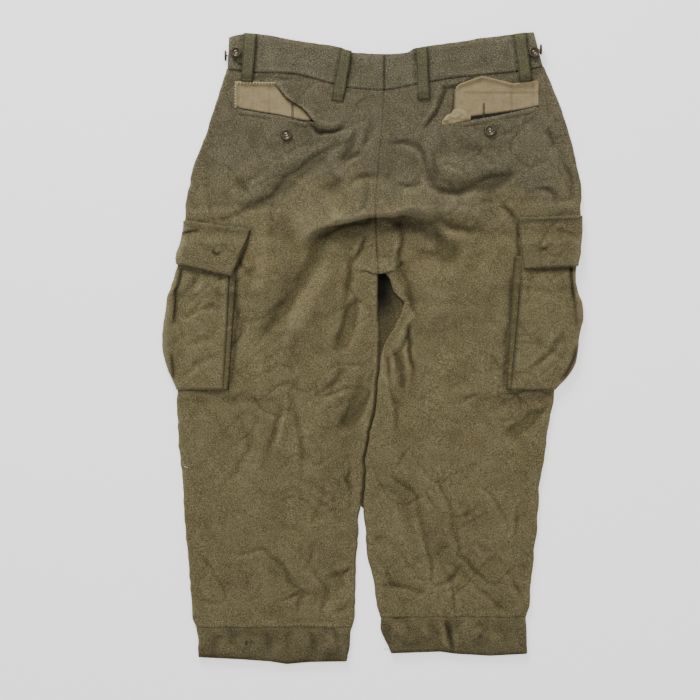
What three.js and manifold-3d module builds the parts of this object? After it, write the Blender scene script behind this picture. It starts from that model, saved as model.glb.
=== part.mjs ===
// Wool cargo trousers laid flat with the back side up, in millimetres
// +X is the wearer's right, +Y the waist, +Z up from the surface they lie on
// The origin is on that surface, under the middle of the garment
import * as THREE from "three";
import { mergeVertices } from "three/addons/utils/BufferGeometryUtils.js";
import Module from "manifold-3d";

const wasm = await Module();
wasm.setup();

// Driving sizes
const cloth = 2;              // wall of the heavy wool
const bandCloth = 2.6;        // waistband and cuffs, two layers of wool
const cotton = 1;             // wall of the pocket facings
const seamGap = 0.3;          // distance between two pieces at a seam
const curveEase = 0.35;       // added where a curved seam is followed in facets
const layer = cloth + seamGap;
const edgeRadius = 3.6;       // outside radius where the legs fold over at their sides
const bandRadius = 4.2;       // the same on the waistband and cuffs
const arcSteps = 3;           // facets in each quarter of such a fold
const restRise = 1.2;         // how far the back layer stands up away from an edge
const deepest = 2.7;          // lowest a trough may go, where the two layers almost touch
const forkY = 112;            // where the two legs part
const seatX = 17;             // centre back seam at the waistband
const loopWidth = 16.5;
const buttonRadius = 8.7;
const bandButtonRadius = 8;
const buttonSides = 14;
const gussetRise = 2.4;       // how far the bellows lift the cargo pocket's face
const pocketTop = 132;        // upper edge of the cargo pockets, under their flaps
const pocketBottom = -60;
const flapLow = 104;
const underReach = 120;       // from the side edge to past the inner end of the flaps
const partedY = -228;         // below this both layers of the right leg have the same inner edge
const frontParting = 1.5;     // gap between the front panels below the fork
const rowTop = 399;           // the waist seam's height on a straight row
const cuffSeam = { left: -405, right: -390 };
const frontDrop = 3;          // how much lower the front of the waistband ends

// Distance from an edge where the back layer's relief starts and where it is full
const setsIn = {
  belowWaist: { from: 34, full: 80 },
  aboveCuff: { from: 4, full: 50 },
  rest: { from: 12, full: 50 },
  fold: { from: 4, full: 26 },
};
const foldEnd = 0.28;         // share of a fold's length over which it fades at each end
const foldOver = 0.06;        // share of its length that it runs on past its ends
const liftRamp = 30;          // width over which the garment comes down beside what lies under it
const underRamp = 26;
const flyMargin = 46;         // round the fly, where the back layer keeps its height

// Sides of the garment at each height: x of the left outer, left inner, right inner and right outer edge
const sections = [
  { y: 410, outerLeft: -209, innerLeft: 17, innerRight: 17, outerRight: 248 },
  { y: 386, outerLeft: -217, innerLeft: 17, innerRight: 17, outerRight: 257 },
  { y: 368, outerLeft: -223, innerLeft: 16, innerRight: 16, outerRight: 265 },
  { y: 342, outerLeft: -231, innerLeft: 15, innerRight: 15, outerRight: 275 },
  { y: 307, outerLeft: -243, innerLeft: 13, innerRight: 13, outerRight: 286 },
  { y: 273, outerLeft: -256, innerLeft: 9, innerRight: 9, outerRight: 295 },
  { y: 238, outerLeft: -265, innerLeft: 6, innerRight: 6, outerRight: 302 },
  { y: 203, outerLeft: -273, innerLeft: 4, innerRight: 4, outerRight: 304 },
  { y: 168, outerLeft: -276, innerLeft: 5, innerRight: 5, outerRight: 304 },
  { y: 133, outerLeft: -285, innerLeft: 7, innerRight: 7, outerRight: 301 },
  { y: 116, outerLeft: -285, innerLeft: 8, innerRight: 12, outerRight: 296 },
  { y: 99, outerLeft: -291, innerLeft: 8, innerRight: 25, outerRight: 295 },
  { y: 81, outerLeft: -297, innerLeft: 8, innerRight: 31, outerRight: 297 },
  { y: 65, outerLeft: -299, innerLeft: 8, innerRight: 46, outerRight: 303 },
  { y: 46, outerLeft: -301, innerLeft: 8, innerRight: 41, outerRight: 305 },
  { y: 29, outerLeft: -304, innerLeft: 9, innerRight: 31, outerRight: 302 },
  { y: 12, outerLeft: -304, innerLeft: 9, innerRight: 20, outerRight: 299 },
  { y: -6, outerLeft: -302, innerLeft: 8, innerRight: 13, outerRight: 297 },
  { y: -23, outerLeft: -299, innerLeft: 7, innerRight: 10, outerRight: 294 },
  { y: -42, outerLeft: -293, innerLeft: 6, innerRight: 9, outerRight: 283 },
  { y: -60, outerLeft: -285, innerLeft: 5, innerRight: 8, outerRight: 267 },
  { y: -93, outerLeft: -283, innerLeft: -1, innerRight: 2, outerRight: 260 },
  { y: -128, outerLeft: -281, innerLeft: -8, innerRight: -5, outerRight: 253 },
  { y: -148, outerLeft: -280, innerLeft: -12, innerRight: -9, outerRight: 250 },
  { y: -197, outerLeft: -276, innerLeft: -14, innerRight: -11, outerRight: 243 },
  { y: -228, outerLeft: -273, innerLeft: -17, innerRight: -13, outerRight: 241 },
  { y: -249, outerLeft: -272, innerLeft: -21, innerRight: -11, outerRight: 239 },
  { y: -284, outerLeft: -269, innerLeft: -22, innerRight: -9, outerRight: 236 },
  { y: -302, outerLeft: -267, innerLeft: -24, innerRight: -7, outerRight: 234 },
  { y: -336, outerLeft: -265, innerLeft: -25, innerRight: 2, outerRight: 230 },
  { y: -371, outerLeft: -263, innerLeft: -26, innerRight: 6, outerRight: 227 },
  { y: -390, outerLeft: -261, innerLeft: -27, innerRight: 11, outerRight: 223 },
  { y: -405, outerLeft: -255, innerLeft: -30, innerRight: 11, outerRight: 224 },
  { y: -423, outerLeft: -253, innerLeft: -33, innerRight: 17, outerRight: 225 },
  { y: -446, outerLeft: -253, innerLeft: -35, innerRight: 28, outerRight: 225 },
];

// Upper edge of the waistband and the seam below it
const bandLine = [
  { x: -212, top: 449, seam: 404 },
  { x: -178, top: 455, seam: 399 },
  { x: -112, top: 445, seam: 396 },
  { x: -46, top: 434, seam: 379 },
  { x: -30, top: 427, seam: 376 },
  { x: 17, top: 425, seam: 373 },
  { x: 51, top: 427, seam: 379 },
  { x: 62, top: 434, seam: 381 },
  { x: 120, top: 442, seam: 391 },
  { x: 210, top: 455, seam: 400 },
  { x: 250, top: 457, seam: 408 },
];

// Lower edge of the two cuffs
const hemLine = [
  { x: -253, y: -447 },
  { x: -192, y: -450 },
  { x: -149, y: -453 },
  { x: -124, y: -457 },
  { x: -91, y: -454 },
  { x: -34, y: -453 },
  { x: 10, y: -442 },
  { x: 98, y: -439 },
  { x: 120, y: -442 },
  { x: 170, y: -445 },
  { x: 226, y: -442 },
];

// Largest folds of the back: rise is a ridge or, below zero, a trough
// left and right are its half widths as seen from the first point towards the second
const folds = [
  { x1: -47, y1: 323, x2: -178, y2: 225, bow: -6, rise: 4, left: 34, right: 34 },
  { x1: -28, y1: 303, x2: -160, y2: 207, bow: -8, rise: -6, left: 16, right: 16 },
  { x1: -140, y1: 218, x2: -240, y2: 184, bow: 4, rise: -3, left: 14, right: 14 },
  { x1: 64, y1: 298, x2: 92, y2: 232, bow: 3, rise: -5, left: 12, right: 12 },
  { x1: 86, y1: 234, x2: 205, y2: 250, bow: -8, rise: -6, left: 13, right: 12 },
  { x1: 90, y1: 258, x2: 205, y2: 272, bow: -6, rise: 4, left: 22, right: 14 },
  { x1: -108, y1: 150, x2: -28, y2: 204, bow: 10, rise: 14, left: 36, right: 13 },
  { x1: -62, y1: 192, x2: 88, y2: 197, bow: 13, rise: 21, left: 42, right: 14 },
  { x1: 55, y1: 203, x2: 165, y2: 192, bow: 5, rise: 9, left: 36, right: 16 },
  { x1: -70, y1: 150, x2: -158, y2: 22, bow: 6, rise: -5, left: 17, right: 20 },
  { x1: -105, y1: 168, x2: -180, y2: 60, bow: 0, rise: 4, left: 26, right: 30 },
  { x1: -48, y1: 128, x2: -118, y2: 0, bow: -6, rise: 8, left: 26, right: 26 },
  { x1: -28, y1: 72, x2: -50, y2: -8, bow: 4, rise: -6, left: 12, right: 12 },
  { x1: 56, y1: 176, x2: 128, y2: 130, bow: -4, rise: -6, left: 18, right: 18 },
  { x1: 62, y1: 126, x2: 108, y2: 30, bow: -4, rise: 8, left: 28, right: 30 },
  { x1: 56, y1: 66, x2: 16, y2: -10, bow: 4, rise: 6, left: 14, right: 14 },
  { x1: 34, y1: 20, x2: 36, y2: -120, bow: 6, rise: -3, left: 14, right: 14 },
  { x1: 4, y1: -26, x2: -46, y2: -118, bow: 6, rise: -5, left: 15, right: 15 },
  { x1: 250, y1: -80, x2: 188, y2: -132, bow: 4, rise: -3, left: 18, right: 18 },
  { x1: -70, y1: -40, x2: -110, y2: -220, bow: 8, rise: 4, left: 30, right: 30 },
  { x1: 22, y1: -186, x2: 60, y2: -270, bow: 8, rise: -3, left: 18, right: 18 },
  { x1: 70, y1: -246, x2: 150, y2: -345, bow: -6, rise: -3, left: 20, right: 20 },
  { x1: 150, y1: -190, x2: 212, y2: -366, bow: 6, rise: 4, left: 24, right: 24 },
  { x1: -158, y1: -296, x2: -60, y2: -384, bow: -8, rise: -3, left: 20, right: 20 },
  { x1: -24, y1: -312, x2: -90, y2: -366, bow: 5, rise: -3, left: 18, right: 18 },
  { x1: -232, y1: -180, x2: -150, y2: -280, bow: 8, rise: 3, left: 26, right: 26 },
];

// Places where the back layer is kept even, because a piece lies on it or under it
const calmZones = [
  { x: -150, y: 347, halfX: 88, halfY: 50, ramp: 34 },
  { x: 168, y: 347, halfX: 92, halfY: 50, ramp: 34 },
  { x: -262, y: 60, halfX: 84, halfY: 132, ramp: 22 },
  { x: 262, y: 60, halfX: 86, halfY: 138, ramp: 22 },
];

// Cargo pockets: x of the face's inner edge and of the bellows' edge beside it
const pocketLines = {
  left: [
    { y: 132, face: -206, bellows: -196 },
    { y: 40, face: -210, bellows: -202 },
    { y: -60, face: -216, bellows: -209 },
  ],
  right: [
    { y: 132, face: 216, bellows: 205 },
    { y: 40, face: 209, bellows: 199 },
    { y: -60, face: 199, bellows: 194 },
  ],
};

// Flap corners: at the side edge and at the inner end, above and below
const flapCorners = {
  left: { sideTop: 184, innerTopX: -177, innerTopY: 171, sideLow: 122, innerLowX: -204, innerLowY: flapLow },
  right: { sideTop: 191, innerTopX: 211, innerTopY: 188, sideLow: 119, innerLowX: 219, innerLowY: 115 },
};

// Mouths of the hip pockets, cut through the back panels: heights of the upper and the lower lip
const mouths = {
  left: [
    { x: -197, upper: 380, lower: 348 },
    { x: -191, upper: 384, lower: 345 },
    { x: -145, upper: 384, lower: 337 },
    { x: -137, upper: 378, lower: 336 },
    { x: -124, upper: 362, lower: 333 },
    { x: -101, upper: 348, lower: 328 },
    { x: -89, upper: 333, lower: 327 },
    { x: -83, upper: 327, lower: 325 },
  ],
  right: [
    { x: 101, upper: 323, lower: 321 },
    { x: 108, upper: 335, lower: 323 },
    { x: 115, upper: 342, lower: 324 },
    { x: 117, upper: 373, lower: 325 },
    { x: 127, upper: 381, lower: 326 },
    { x: 141, upper: 386, lower: 329 },
    { x: 159, upper: 392, lower: 332 },
    { x: 176, upper: 388, lower: 335 },
    { x: 204, upper: 381, lower: 341 },
    { x: 238, upper: 385, lower: 349 },
  ],
};

// Ends of the narrow strips below the mouths, and the cloth of the bag that looks out of one
const welts = { left: { from: -194, to: -96 }, right: { from: 132, to: 237 } };
const bag = { from: 108, to: 150, low: 325.5, slope: 0.19, least: 3, most: 15 };

// Side edges of the waistband, the tabs on it and the places of the buttons
const bandSides = { left: { top: -208, seam: -210 }, right: { top: 234, seam: 247 } };
const tabs = { left: { root: -172, tip: -204, middle: 427 }, right: { root: 208, tip: 231, middle: 430 } };
const buttonPlaces = {
  left: { hipX: -125, hipY: 309, tabX: -197.5, tabLift: 1.4, edgeX: -208, edgeY: 423 },
  right: { hipX: 170, hipY: 315, tabX: 233.4, tabLift: seamGap, edgeX: 239, edgeY: 432 },
};
const tabButtonY = 428;
const tabButtonTilt = 9;      // degrees
const cuffMiddleX = { left: -140, right: 120 };

// Middle line of each strip sewn over the waistband
const backLoops = [
  { name: "belt_loop_outer_left", topX: -177, topY: 455, lowX: -182, lowY: 386 },
  { name: "belt_loop_inner_left", topX: -38, topY: 431, lowX: -51, lowY: 358 },
  { name: "belt_loop_inner_right", topX: 71, topY: 434, lowX: 74, lowY: 361 },
  { name: "belt_loop_outer_right", topX: 213, topY: 455, lowX: 222, lowY: 386 },
];
const frontLoopX = { left: -92, right: 124 };

// Pieces under the front layer, which is lifted over them so that the underside stays flat
const flyPlacket = { left: -10, right: 34, top: 371, low: 196 };
const underPieces = {
  leg: [{ x: 12, y: 284, halfX: 22, halfY: 88 }],
  band: [
    { x: frontLoopX.left, y: 415, halfX: loopWidth / 2, halfY: 40 },
    { x: frontLoopX.right, y: 415, halfX: loopWidth / 2, halfY: 40 },
  ],
};

const { lerp, smoothstep, clamp, degToRad } = THREE.MathUtils;
const quarter = Math.PI / 2;
const sideSign = { left: -1, right: 1 };

// Straight interpolation of one column of a table
function between(table, key, column, at) {
  const sign = Math.sign(table[1][key] - table[0][key]);
  let i = 0;
  while (i < table.length - 2 && sign * at > sign * table[i + 1][key]) i += 1;
  const part = clamp((at - table[i][key]) / (table[i + 1][key] - table[i][key]), 0, 1);
  return lerp(table[i][column], table[i + 1][column], part);
}

// The same along a smooth curve through the rows
function curved(table, key, column, at) {
  const sign = Math.sign(table[1][key] - table[0][key]);
  let i = 0;
  while (i < table.length - 2 && sign * at > sign * table[i + 1][key]) i += 1;
  const slope = (a, b) => (table[b][column] - table[a][column]) / (table[b][key] - table[a][key]);
  const width = table[i + 1][key] - table[i][key];
  const part = clamp((at - table[i][key]) / width, 0, 1);
  const slopeIn = i > 0 ? slope(i - 1, i + 1) : slope(0, 1);
  const slopeOut = i < table.length - 2 ? slope(i, i + 2) : slope(i, i + 1);
  const square = part * part;
  const cube = square * part;
  return (2 * cube - 3 * square + 1) * table[i][column] + (cube - 2 * square + part) * width * slopeIn
    + (3 * square - 2 * cube) * table[i + 1][column] + (cube - square) * width * slopeOut;
}

// One inside a range, falling to nothing over the ramp outside it
function plateau(value, low, high, ramp) {
  return smoothstep(value, low - ramp, low) * (1 - smoothstep(value, high, high + ramp));
}

function zone(x, y, { x: midX, y: midY, halfX, halfY, ramp = 22 }, margin = 0) {
  const across = plateau(x, midX - halfX - margin, midX + halfX + margin, ramp);
  return across * plateau(y, midY - halfY - margin, midY + halfY + margin, ramp);
}

function outline(side, y) {
  return curved(sections, "y", side === "left" ? "outerLeft" : "outerRight", y);
}

// How many layers the cargo pocket and its flap put round the leg at this height
function pocketCover(y) {
  const ramp = 18;
  return plateau(y, pocketBottom, pocketTop + ramp, ramp);
}

function flapCover(side, y) {
  const [below, above, ramp] = [18, 12, 14];
  return plateau(y, flapCorners[side].innerLowY - below, flapCorners[side].sideTop + above, ramp);
}

// Edge of the leg itself, inside the cargo pocket where there is one
function legEdge(side, y) {
  const covers = layer * (pocketCover(y) + flapCover(side, y));
  return outline(side, y) - sideSign[side] * covers;
}

function innerEdge(side, y, face) {
  const column = side === "left" || (face === "front" && y > partedY) ? "innerLeft" : "innerRight";
  const gap = side === "left" ? -seamGap / 2 : seamGap / 2;
  const parted = side === "right" && face === "front" && y <= forkY + 4 && y > partedY;
  return between(sections, "y", column, y) + gap + (parted ? frontParting : 0);
}

// How far the cargo pockets and flaps under the sides lift the whole garment
function sideLift(x, y) {
  let height = 0;
  for (const side of ["left", "right"]) {
    const fromEdge = sideSign[side] * (legEdge(side, y) - x);
    const near = 1 - smoothstep(fromEdge, underReach, underReach + liftRamp);
    height += layer * near * (pocketCover(y) + flapCover(side, y));
  }
  return height;
}

function underLift(part, x, y) {
  return Math.max(...underPieces[part].map((piece) => zone(x, y, piece, underRamp)));
}

// Height of the underside of the front layer
function floorHeight(x, y, part = "leg") {
  return sideLift(x, y) + layer * underLift(part, x, y);
}

// One fold's height at a point
function foldHeight(fold, x, y) {
  const length = Math.hypot(fold.x2 - fold.x1, fold.y2 - fold.y1);
  const dirX = (fold.x2 - fold.x1) / length;
  const dirY = (fold.y2 - fold.y1) / length;
  const along = ((x - fold.x1) * dirX + (y - fold.y1) * dirY) / length;
  const bend = fold.bow * 4 * clamp(along, 0, 1) * (1 - clamp(along, 0, 1));
  const across = (y - fold.y1) * dirX - (x - fold.x1) * dirY - bend;
  const width = across > 0 ? fold.left : fold.right;
  const taper = smoothstep(along, -foldOver, foldEnd) * (1 - smoothstep(along, 1 - foldEnd, 1 + foldOver));
  return fold.rise * taper * Math.exp(-((across / width) ** 2));
}

// Height of the back layer above its height at the edges
function backRelief(side, x, y) {
  let relief = 0;
  for (const fold of folds) relief += foldHeight(fold, x, y);
  const sideDistance = sideSign[side] * (legEdge(side, y) - x);
  const innerDistance = y > forkY ? Infinity : sideSign[side] * (x - innerEdge(side, y, "back"));
  const nearEdge = Math.min(sideDistance, innerDistance);
  const share = (distance, { from, full }) => smoothstep(distance, from, full);
  const fromWaist = curved(bandLine, "x", "seam", x) - y;
  let calm = share(fromWaist, setsIn.belowWaist) * share(y - cuffSeam[side], setsIn.aboveCuff);
  for (const spot of calmZones) calm *= 1 - zone(x, y, spot);
  const overFly = zone(x, y, underPieces.leg[0], flyMargin);
  const rise = restRise * share(nearEdge, setsIn.rest) * calm * (1 - overFly);
  return Math.max(relief * calm * share(nearEdge, setsIn.fold) + rise, lerp(-deepest, 0, overFly));
}

function backTop(side, x, y) {
  return sideLift(x, y) + 2 * edgeRadius + backRelief(side, x, y);
}

// Closed wall between two grids of points, one row after another
function wall(outer, inner) {
  const rows = outer.length;
  const columns = outer[0].length;
  const last = { row: rows - 1, column: columns - 1 };
  const positions = [...outer.flat(2), ...inner.flat(2)];
  const faces = [];
  const at = (face, i, j) => (face * rows + i) * columns + j;
  const quad = (a, b, c, d) => faces.push(a, b, c, a, c, d);
  for (let i = 0; i < last.row; i += 1) {
    for (let j = 0; j < last.column; j += 1) {
      quad(at(0, i, j), at(0, i, j + 1), at(0, i + 1, j + 1), at(0, i + 1, j));
      quad(at(1, i, j), at(1, i + 1, j), at(1, i + 1, j + 1), at(1, i, j + 1));
    }
    quad(at(0, i, 0), at(0, i + 1, 0), at(1, i + 1, 0), at(1, i, 0));
    quad(at(0, i, last.column), at(1, i, last.column), at(1, i + 1, last.column), at(0, i + 1, last.column));
  }
  for (let j = 0; j < last.column; j += 1) {
    quad(at(0, 0, j), at(1, 0, j), at(1, 0, j + 1), at(0, 0, j + 1));
    quad(at(0, last.row, j), at(0, last.row, j + 1), at(1, last.row, j + 1), at(1, last.row, j));
  }
  return facingOut(positions, faces);
}

// Geometry whose faces point away from the solid
function facingOut(positions, faces) {
  const geometry = new THREE.BufferGeometry();
  geometry.setAttribute("position", new THREE.Float32BufferAttribute(positions, 3));
  const point = (k) => new THREE.Vector3().fromArray(positions, 3 * k);
  let volume = 0;
  for (let k = 0; k < faces.length; k += 3) {
    volume += point(faces[k]).dot(point(faces[k + 1]).cross(point(faces[k + 2])));
  }
  const turned = volume > 0 ? faces : faces.toReversed();
  geometry.setIndex(turned);
  geometry.computeVertexNormals();
  return geometry;
}

function toManifold(geometry) {
  const plain = geometry.clone();
  plain.deleteAttribute("normal");
  if (plain.getAttribute("uv")) plain.deleteAttribute("uv");
  const merged = mergeVertices(plain, 1e-4);
  return new wasm.Manifold(new wasm.Mesh({
    numProp: 3,
    vertProperties: new Float32Array(merged.getAttribute("position").array),
    triVerts: new Uint32Array(merged.getIndex().array),
  }));
}

function fromManifold(solid) {
  const { vertProperties, triVerts } = solid.getMesh();
  return facingOut(Array.from(vertProperties), Array.from(triVerts));
}

// Upright prism over a flat outline
function prism(corners, low, high) {
  const shape = new THREE.Shape(corners.map(([x, y]) => new THREE.Vector2(x, y)));
  const block = new THREE.ExtrudeGeometry(shape, { depth: high - low, bevelEnabled: false });
  return block.translate(0, 0, low);
}

// Heights of the panel's rows between the waist seam and the cuff
function rowHeights(low, face) {
  const ridge = { top: 225, low: 168 };
  const belowPocket = pocketBottom - 50;
  const zones = [
    { from: rowTop, to: ridge.top, steps: face === "back" ? 12 : 6 },
    { from: ridge.top, to: ridge.low, steps: 4 },
    { from: ridge.low, to: pocketBottom, steps: 13 },
    { from: pocketBottom, to: belowPocket, steps: 2 },
    { from: belowPocket, to: low, steps: face === "back" ? 10 : 5 },
  ];
  const rows = [];
  for (const { from, to, steps } of zones) {
    for (let i = 0; i < steps; i += 1) rows.push(lerp(from, to, i / steps));
  }
  return [...rows, low];
}

// Bends the rows near the waist so that the first one follows the waistband's seam
function rowAt(nominal, x) {
  const pull = smoothstep(nominal, 300, rowTop);
  return nominal + pull * (curved(bandLine, "x", "seam", x) - seamGap - curveEase - rowTop);
}

// Point on a rolled edge: angle 0 is the middle of the roll, a quarter turn its top
function rolled(edge, sign, middle, radius, wallThickness, angle, face) {
  const up = face === "back" ? 1 : -1;
  const place = (r) => [edge - sign * (radius - r * Math.cos(angle)), middle + up * r * Math.sin(angle)];
  return { outer: place(radius), inner: place(radius - wallThickness) };
}

// Back or front panel of one leg
function legPanel(side, face, flatColumns) {
  const sign = sideSign[side];
  const outer = [];
  const inner = [];
  for (const nominal of rowHeights(cuffSeam[side] + seamGap, face)) {
    const outerRow = [];
    const innerRow = [];
    const roll = 1 - smoothstep(nominal, forkY - 6, forkY + 14);
    const put = (x, y, zOuter, zInner, innerX = x) => {
      outerRow.push([x, y, zOuter]);
      innerRow.push([innerX, y, zInner]);
    };
    const heightAt = (x, y) => (face === "back" ? backTop(side, x, y) : floorHeight(x, y));
    const inward = face === "back" ? -cloth : cloth;
    const arc = (edge, away, blend, angle) => {
      const y = rowAt(nominal, edge);
      const middle = floorHeight(edge, y) + edgeRadius;
      const point = rolled(edge, away, middle, edgeRadius, cloth, angle, face);
      const flatX = edge - away * edgeRadius * angle;
      const flatZ = heightAt(flatX, y);
      put(lerp(flatX, point.outer[0], blend), y, lerp(flatZ, point.outer[1], blend),
        lerp(flatZ + inward, point.inner[1], blend), lerp(flatX, point.inner[0], blend));
    };
    const seat = innerEdge(side, rowAt(nominal, seatX), face);
    const rim = legEdge(side, rowAt(nominal, outline(side, nominal)));
    const start = seamGap / 2 / edgeRadius;
    for (let k = 0; k < arcSteps; k += 1) arc(seat, -sign, roll, Math.max(start, (quarter * k) / arcSteps));
    const from = seat + sign * edgeRadius * lerp(quarter, 1, roll);
    const to = rim - sign * edgeRadius;
    for (let j = 0; j <= flatColumns; j += 1) {
      const x = lerp(from, to, j / flatColumns);
      const y = rowAt(nominal, x);
      const z = heightAt(x, y);
      put(x, y, z, z + inward);
    }
    for (let k = arcSteps - 1; k >= 0; k -= 1) arc(rim, sign, 1, Math.max(start, (quarter * k) / arcSteps));
    outer.push(outerRow);
    inner.push(innerRow);
  }
  return wall(outer, inner);
}

// Strip with one rolled side, for the waistband halves
function bandHalf(side, face) {
  const sign = sideSign[side];
  const outer = [];
  const inner = [];
  const seat = seatX + (sign * seamGap) / 2;
  const rowSteps = 2;
  const columns = 12;
  for (let i = 0; i <= rowSteps; i += 1) {
    const part = i / rowSteps;
    const rim = lerp(bandSides[side].top, bandSides[side].seam, part);
    const lower = face === "front" ? frontDrop : 0;
    const yAt = (x) => lerp(curved(bandLine, "x", "top", x) - lower, curved(bandLine, "x", "seam", x), part);
    const outerRow = [];
    const innerRow = [];
    const levelAt = (x, y) => (face === "back" ? 2 * bandRadius : floorHeight(x, y, "band"));
    const inward = face === "back" ? -bandCloth : bandCloth;
    for (let j = 0; j <= columns; j += 1) {
      const x = lerp(seat, rim - sign * bandRadius, j / columns);
      const y = yAt(x);
      outerRow.push([x, y, levelAt(x, y)]);
      innerRow.push([x, y, levelAt(x, y) + inward]);
    }
    for (let k = arcSteps - 1; k >= 0; k -= 1) {
      const angle = Math.max(seamGap / 2 / (bandRadius - bandCloth), (quarter * k) / arcSteps);
      const y = yAt(rim);
      const middle = floorHeight(rim, y) + bandRadius;
      const point = rolled(rim, sign, middle, bandRadius, bandCloth, angle, face);
      outerRow.push([point.outer[0], y, point.outer[1]]);
      innerRow.push([point.inner[0], y, point.inner[1]]);
    }
    outer.push(outerRow);
    inner.push(innerRow);
  }
  return wall(outer, inner);
}

// Half of the band round a hem, rolled at both sides
function cuffHalf(side, face) {
  const sign = sideSign[side];
  const outer = [];
  const inner = [];
  const rowSteps = 2;
  const columns = 9;
  for (let i = 0; i <= rowSteps; i += 1) {
    const part = i / rowSteps;
    const top = cuffSeam[side];
    const yAt = (x) => lerp(top, between(hemLine, "x", "y", x), part);
    const middleY = yAt(cuffMiddleX[side]);
    const seat = innerEdge(side, middleY, "back");
    const rim = outline(side, middleY);
    const inward = face === "back" ? -bandCloth : bandCloth;
    const level = face === "back" ? 2 * bandRadius : 0;
    const outerRow = [];
    const innerRow = [];
    const arc = (edge, away, angle) => {
      const point = rolled(edge, away, bandRadius, bandRadius, bandCloth, angle, face);
      const y = yAt(edge);
      outerRow.push([point.outer[0], y, point.outer[1]]);
      innerRow.push([point.inner[0], y, point.inner[1]]);
    };
    const start = seamGap / 2 / (bandRadius - bandCloth);
    for (let k = 0; k < arcSteps; k += 1) arc(seat, -sign, Math.max(start, (quarter * k) / arcSteps));
    for (let j = 0; j <= columns; j += 1) {
      const x = lerp(seat + sign * bandRadius, rim - sign * bandRadius, j / columns);
      outerRow.push([x, yAt(x), level]);
      innerRow.push([x, yAt(x), level + inward]);
    }
    for (let k = arcSteps - 1; k >= 0; k -= 1) arc(rim, sign, Math.max(start, (quarter * k) / arcSteps));
    outer.push(outerRow);
    inner.push(innerRow);
  }
  return wall(outer, inner);
}

// Point over the leg's skin: around is the way over the cloth from the middle of the side edge,
// above zero on the back and below zero on the front
function overSkin(side, y, around, lift) {
  const sign = sideSign[side];
  const edge = legEdge(side, y);
  const middle = floorHeight(edge, y) + edgeRadius;
  const arcLength = edgeRadius * quarter;
  if (Math.abs(around) <= arcLength + 1e-9) {
    const angle = around / edgeRadius;
    const reach = edgeRadius + lift;
    return [edge - sign * (edgeRadius - reach * Math.cos(angle)), y, middle + reach * Math.sin(angle)];
  }
  const x = edge - sign * (edgeRadius + Math.abs(around) - arcLength);
  if (around > 0) return [x, y, backTop(side, x, y) + lift];
  return [x, y, floorHeight(x, y) - lift];
}

// Way round the cloth to a point at x on the flat part
function aroundTo(side, x, y) {
  return sideSign[side] * (legEdge(side, y) - x) - edgeRadius + edgeRadius * quarter;
}

// Lift of the cargo pocket's outer face over the leg
function pocketLift(y, around) {
  const [from, full, leastShare] = [16, 44, 0.4];
  const upwards = lerp(leastShare, 1, smoothstep(y, pocketBottom, pocketBottom + 50));
  return (layer + gussetRise * smoothstep(around, from, full) * upwards) * pocketCover(y);
}

// Stations round the side edge from the back to the front
function stations(reach, flatSteps) {
  const arcLength = edgeRadius * quarter;
  const places = [];
  for (let k = 0; k < flatSteps; k += 1) places.push(lerp(reach, arcLength, k / flatSteps));
  for (let k = arcSteps; k > 0; k -= 1) places.push((arcLength * k) / arcSteps);
  return [...places, 0, ...places.map((place) => -place).reverse()];
}

const pocketRows = rowHeights(cuffSeam.left, "back").filter((y) => y <= pocketTop && y > pocketBottom - 1);

function cargoPocket(side) {
  const outer = [];
  const inner = [];
  for (const y of pocketRows) {
    const reach = aroundTo(side, between(pocketLines[side], "y", "face", y), y);
    const places = stations(reach, 3);
    outer.push(places.map((around) => overSkin(side, y, around, pocketLift(y, around))));
    inner.push(places.map((around) => overSkin(side, y, around, pocketLift(y, around) - cloth)));
  }
  return wall(outer, inner);
}

// Folded strip between the pocket's inner edge and the leg, on the back or on the front
function cargoBellows(side, face) {
  const turn = face === "back" ? 1 : -1;
  const outer = [];
  const inner = [];
  for (const y of pocketRows) {
    const reachAt = (column) => aroundTo(side, between(pocketLines[side], "y", column, y), y);
    const near = turn * (reachAt("face") + seamGap);
    const far = turn * reachAt("bellows");
    const high = pocketLift(y, near);
    outer.push([overSkin(side, y, near, high), overSkin(side, y, far, layer)]);
    inner.push([overSkin(side, y, near, high - cloth), overSkin(side, y, far, seamGap)]);
  }
  return wall(outer, inner);
}

function cargoFlap(side) {
  const corner = flapCorners[side];
  const rowSteps = 5;
  const outer = [];
  const inner = [];
  for (let i = 0; i <= rowSteps; i += 1) {
    const part = i / rowSteps;
    const sideY = lerp(corner.sideTop, corner.sideLow, part);
    const innerY = lerp(corner.innerTopY, corner.innerLowY, part);
    const reach = aroundTo(side, lerp(corner.innerTopX, corner.innerLowX, part), innerY);
    const places = stations(reach, 4);
    const yAt = (around) => lerp(sideY, innerY, Math.abs(around) / reach);
    const liftAt = (around) => pocketLift(yAt(around), around) + seamGap * (around > 0 ? 2 : 1);
    outer.push(places.map((around) => overSkin(side, yAt(around), around, liftAt(around) + cloth)));
    inner.push(places.map((around) => overSkin(side, yAt(around), around, liftAt(around))));
  }
  return wall(outer, inner);
}

// Back panel with its hip pocket's mouth cut through
function backLeg(side) {
  const upper = mouths[side].map((row) => [row.x, row.upper]);
  const lower = mouths[side].map((row) => [row.x, row.lower]);
  const panel = toManifold(legPanel(side, "back", 12));
  const hole = toManifold(prism([...upper, ...lower.reverse()], -10, 60));
  return fromManifold(panel.subtract(hole));
}

const hipLevel = 2 * edgeRadius;

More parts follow.
